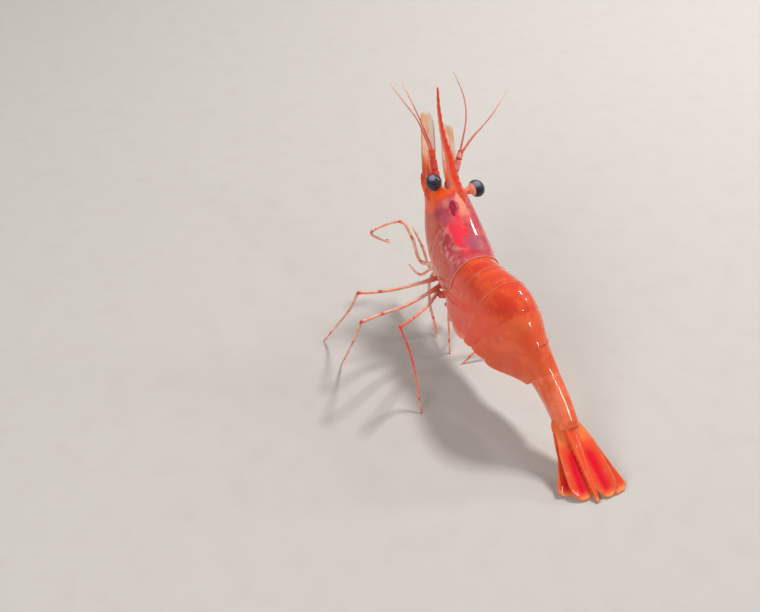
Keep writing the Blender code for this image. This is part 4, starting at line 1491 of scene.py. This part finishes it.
class SHRIMP_OT_tail_fan(bpy.types.Operator):
    """Model the tail fan: the spined middle blade and two pairs of fringed side blades"""

    bl_idname = "shrimp.tail_fan"
    bl_label = "Tail fan"

    def execute(self, context):
        sizes = context.scene.shrimp_sizes
        long, spacing = sizes.bristle / MM, sizes.spacing / MM
        rows = 90
        rump = Station(0)
        line = course([rump.at(0, 2.3, 0.8), rump.at(0, 1.5, -10), Vector(TELSON_TIP)], 30)

        def half(w, across):
            return curve(TELSON_HALVES, w) * tip(w, 0.02)

        def thick(w, across):
            ribs = 0.22 * bell(abs(across), 0.62, 0.14) - 0.16 * bell(across, 0, 0.22)
            body = curve(((0, 1.9), (0.12, 1.3), (0.35, 0.75), (1, 0.35)), w)
            return body * sqrt(max(0.06, 1 - across * across * 0.8)) + ribs * (1 - 0.5 * w)

        def tint(u, w):
            return -0.45 * bell(abs(cos(2 * pi * u)), 0.62, 0.2) - 0.5 * ease(0.9, 1.0, w)

        shape = leaf_shape(line, rump.right, half, thick, rows)
        mesh = skin(40, rows, shape, tint)
        to_piece("telson", mesh, ["fan_cuticle"], ["telson"], 55)
        # Nine pairs of spines stand along the telson's sides, and a row of seven at its end.
        spines = new_fringe()
        for edge in (0.0, 0.5):
            for k in range(9):
                w = 0.30 + 0.07 * k
                at = shape(edge * 0.8 + 0.05, round(w * rows) / rows)
                along = (line[-1] - line[-20]).normalized() + rump.right * (0.35 if edge == 0 else -0.35)
                add_bristle(spines, at, along.normalized(), 0.7, 0.10, (edge, w * 0.99))
        for k in range(7):
            share = (k - 3) / 3
            at = line[-2] + rump.right * share * 0.7
            along = (line[-1] - line[-12]).normalized() + rump.right * share * 0.35
            add_bristle(spines, at, along.normalized(), 1.2, 0.09, (0.5, 0.98))
        to_piece("telson_spines", spines, ["bristle_horn"], ())

        def stem_girth(w):
            return 1.5 * sqrt(max(0.0, 1 - (2 * w - 1) ** 4)) + 0.02

        for (side, layer), (across, down, point, broad, bow) in UROPODS.items():
            sign = SIDES[side]
            outer = layer == "outer"
            start, end = rump.at(across, down, 0.6), Vector(point)
            line = course([start, start.lerp(end, 0.5) + rump.right * bow, end], 30)

            def half(w, across):
                straight = outer and across * sign > 0
                return broad * curve(UROPOD_HALVES, w) * tip(w, 0.07 if straight else 0.22)

            def thick(w, across):
                mid = 0.22 * bell(across, 0.0, 0.16) * (1 - 0.6 * w)
                rib = 0.20 * bell(across * sign, 0.9, 0.1) if outer else 0.0
                # An outer blade is jointed across, a fifth of its length from its end.
                seam = -0.10 * bell(w, 0.80 + 0.05 * across * sign, 0.012) if outer else 0.0
                return 0.22 + mid + rib + seam

            shape = leaf_shape(line, rump.right, half, thick, rows, 0.035)

            def tint(u, w):
                across = cos(2 * pi * u)
                core = bell(across, 0.0, 0.55) * ease(0.22, 0.48, w) * (1 - ease(0.86, 0.95, w))
                pale_tip, pale_root = 0.85 * ease(0.88, 1.0, w), 0.55 * (1 - ease(0.15, 0.45, w))
                return core - max(pale_tip, pale_root, 0.4 * ease(0.8, 1.0, abs(across))) * (1 - core)

            name = f"uropod_{side}_{layer}"
            mesh = skin(40, rows, shape, tint)
            if outer:
                stem = course([rump.at(sign * x, y, z) for x, y, z in FAN_STEM], 12)
                mesh = join([mesh, limb(stem, stem_girth, lambda w: -0.35, 20, 30)])
            to_piece(name, mesh, ["fan_cuticle"], [name], 55)
            fringe = new_fringe()
            for edge in (0.0, 0.5):
                straight = outer and (edge == 0.0) == (sign > 0)
                fringe_leaf(fringe, shape, edge, 0.85 if straight else 0.3, 0.985, long, spacing, 0.65, rows)
            to_piece(f"{name}_fringe", fringe, ["bristle_horn"], ())
        return {"FINISHED"}


VIEW_AZIMUTH, VIEW_PITCH = 22, 40  # degrees to the right of the frame's +Y, and down
VIEW_DISTANCE = 0.330
VIEW_AIM = Vector((-0.02496, 0.01964, -0.01764))  # aim, from the middle of the object's box
LENS, SENSOR = 47.37, 36
FLOOR_REACH = 2.0  # half the side of the floor
LAMP_COLOUR = (1.0, 0.985, 0.96)
SKY_COLOUR, SKY_STRENGTH = "#fff6ee", 0.28
# Soft boxes: place from the middle of the object's box, side, power, and whether the wet shell
# mirrors them. The three small ones make the highlights; the others light and fill.
LAMPS = {
    "top_box": ((0.41, 0.29, 0.75), 0.13, 7.2, False),
    "shield_box": ((0.554, 0.216, 0.410), 0.070, 0.60, True),
    "hump_box": ((0.636, 0.070, 0.297), 0.060, 0.45, True),
    "tail_box": ((0.395, -0.450, 0.427), 0.055, 0.36, True),
    "fill_box": ((-0.55, -0.35, 0.40), 0.40, 3.0, False),
}


class SHRIMP_OT_stage(bpy.types.Operator):
    """Set the plain pale floor, the soft studio light and the camera"""

    bl_idname = "shrimp.stage"
    bl_label = "Stage"

    def execute(self, context):
        low, high = (Vector(corner) for corner in CAD_BOX)
        middle = (low + high) / 2
        mesh = bmesh.new()
        bmesh.ops.create_grid(mesh, x_segments=2, y_segments=2, size=FLOOR_REACH)
        data = bpy.data.meshes.new("floor")
        mesh.to_mesh(data)
        mesh.free()
        data.materials.append(material("matt_board"))
        floor_piece = bpy.data.objects.new("floor", data)
        context.scene.collection.objects.link(floor_piece)

        for name, (place, size, energy, glossy) in LAMPS.items():
            lamp = bpy.data.lights.new(name, "AREA")
            lamp.size, lamp.energy = size, energy
            lamp.color = LAMP_COLOUR
            box = bpy.data.objects.new(name, lamp)
            box.location = middle + Vector(place)
            box.rotation_euler = (-Vector(place)).to_track_quat("-Z", "Y").to_euler()
            box.visible_glossy = glossy
            context.scene.collection.objects.link(box)

        world = bpy.data.worlds.new("pale_room")
        world.use_nodes = True
        sky = world.node_tree.nodes["Background"]
        sky.inputs["Color"].default_value = colour(SKY_COLOUR)
        sky.inputs["Strength"].default_value = SKY_STRENGTH
        context.scene.world = world

        camera = bpy.data.objects.new("camera", bpy.data.cameras.new("camera"))
        camera.data.lens, camera.data.sensor_width = LENS, SENSOR
        camera.data.clip_start = 0.01
        a, p = radians(VIEW_AZIMUTH), radians(VIEW_PITCH)
        look = Vector((sin(a) * cos(p), cos(a) * cos(p), -sin(p)))
        camera.location = middle + VIEW_AIM - look * VIEW_DISTANCE
        camera.rotation_euler = look.to_track_quat("-Z", "Y").to_euler()
        context.scene.collection.objects.link(camera)
        context.scene.camera = camera
        context.scene.view_settings.view_transform = "Standard"
        return {"FINISHED"}


PIECES = (
    SHRIMP_OT_head_shield,
    SHRIMP_OT_beak,
    SHRIMP_OT_tail_plates,
    SHRIMP_OT_underside,
    SHRIMP_OT_eyes,
    SHRIMP_OT_antennules,
    SHRIMP_OT_antennae,
    SHRIMP_OT_mouthparts,
    SHRIMP_OT_walking_legs,
    SHRIMP_OT_small_limbs,
    SHRIMP_OT_swimmerets,
    SHRIMP_OT_tail_fan,
    SHRIMP_OT_stage,
)


class SHRIMP_PT_panel(bpy.types.Panel):
    """The shrimp's pieces, sizes and colours"""

    bl_idname = "SHRIMP_PT_panel"
    bl_label = "Northern shrimp"
    bl_space_type = "VIEW_3D"
    bl_region_type = "UI"
    bl_category = "Shrimp"

    def draw(self, context):
        for piece in PIECES:
            self.layout.operator(piece.bl_idname)
        for group in (context.scene.shrimp_sizes, context.scene.shrimp_colours):
            for name in names_of(group):
                self.layout.prop(group, name)


CLASSES = (ShrimpColours, ShrimpSizes, *PIECES, SHRIMP_PT_panel)


def register():
    """Register the classes and give the scene their settings."""
    for item in CLASSES:
        bpy.utils.register_class(item)
    bpy.types.Scene.shrimp_colours = PointerProperty(type=ShrimpColours)
    bpy.types.Scene.shrimp_sizes = PointerProperty(type=ShrimpSizes)


def unregister():
    """Take the settings and the classes away again."""
    del bpy.types.Scene.shrimp_colours
    del bpy.types.Scene.shrimp_sizes
    for item in reversed(CLASSES):
        bpy.utils.unregister_class(item)


def main():
    """Make every piece in order."""
    register()
    for piece in PIECES:
        group, name = piece.bl_idname.split(".")
        getattr(getattr(bpy.ops, group), name)()


if __name__ == "__main__":
    main()
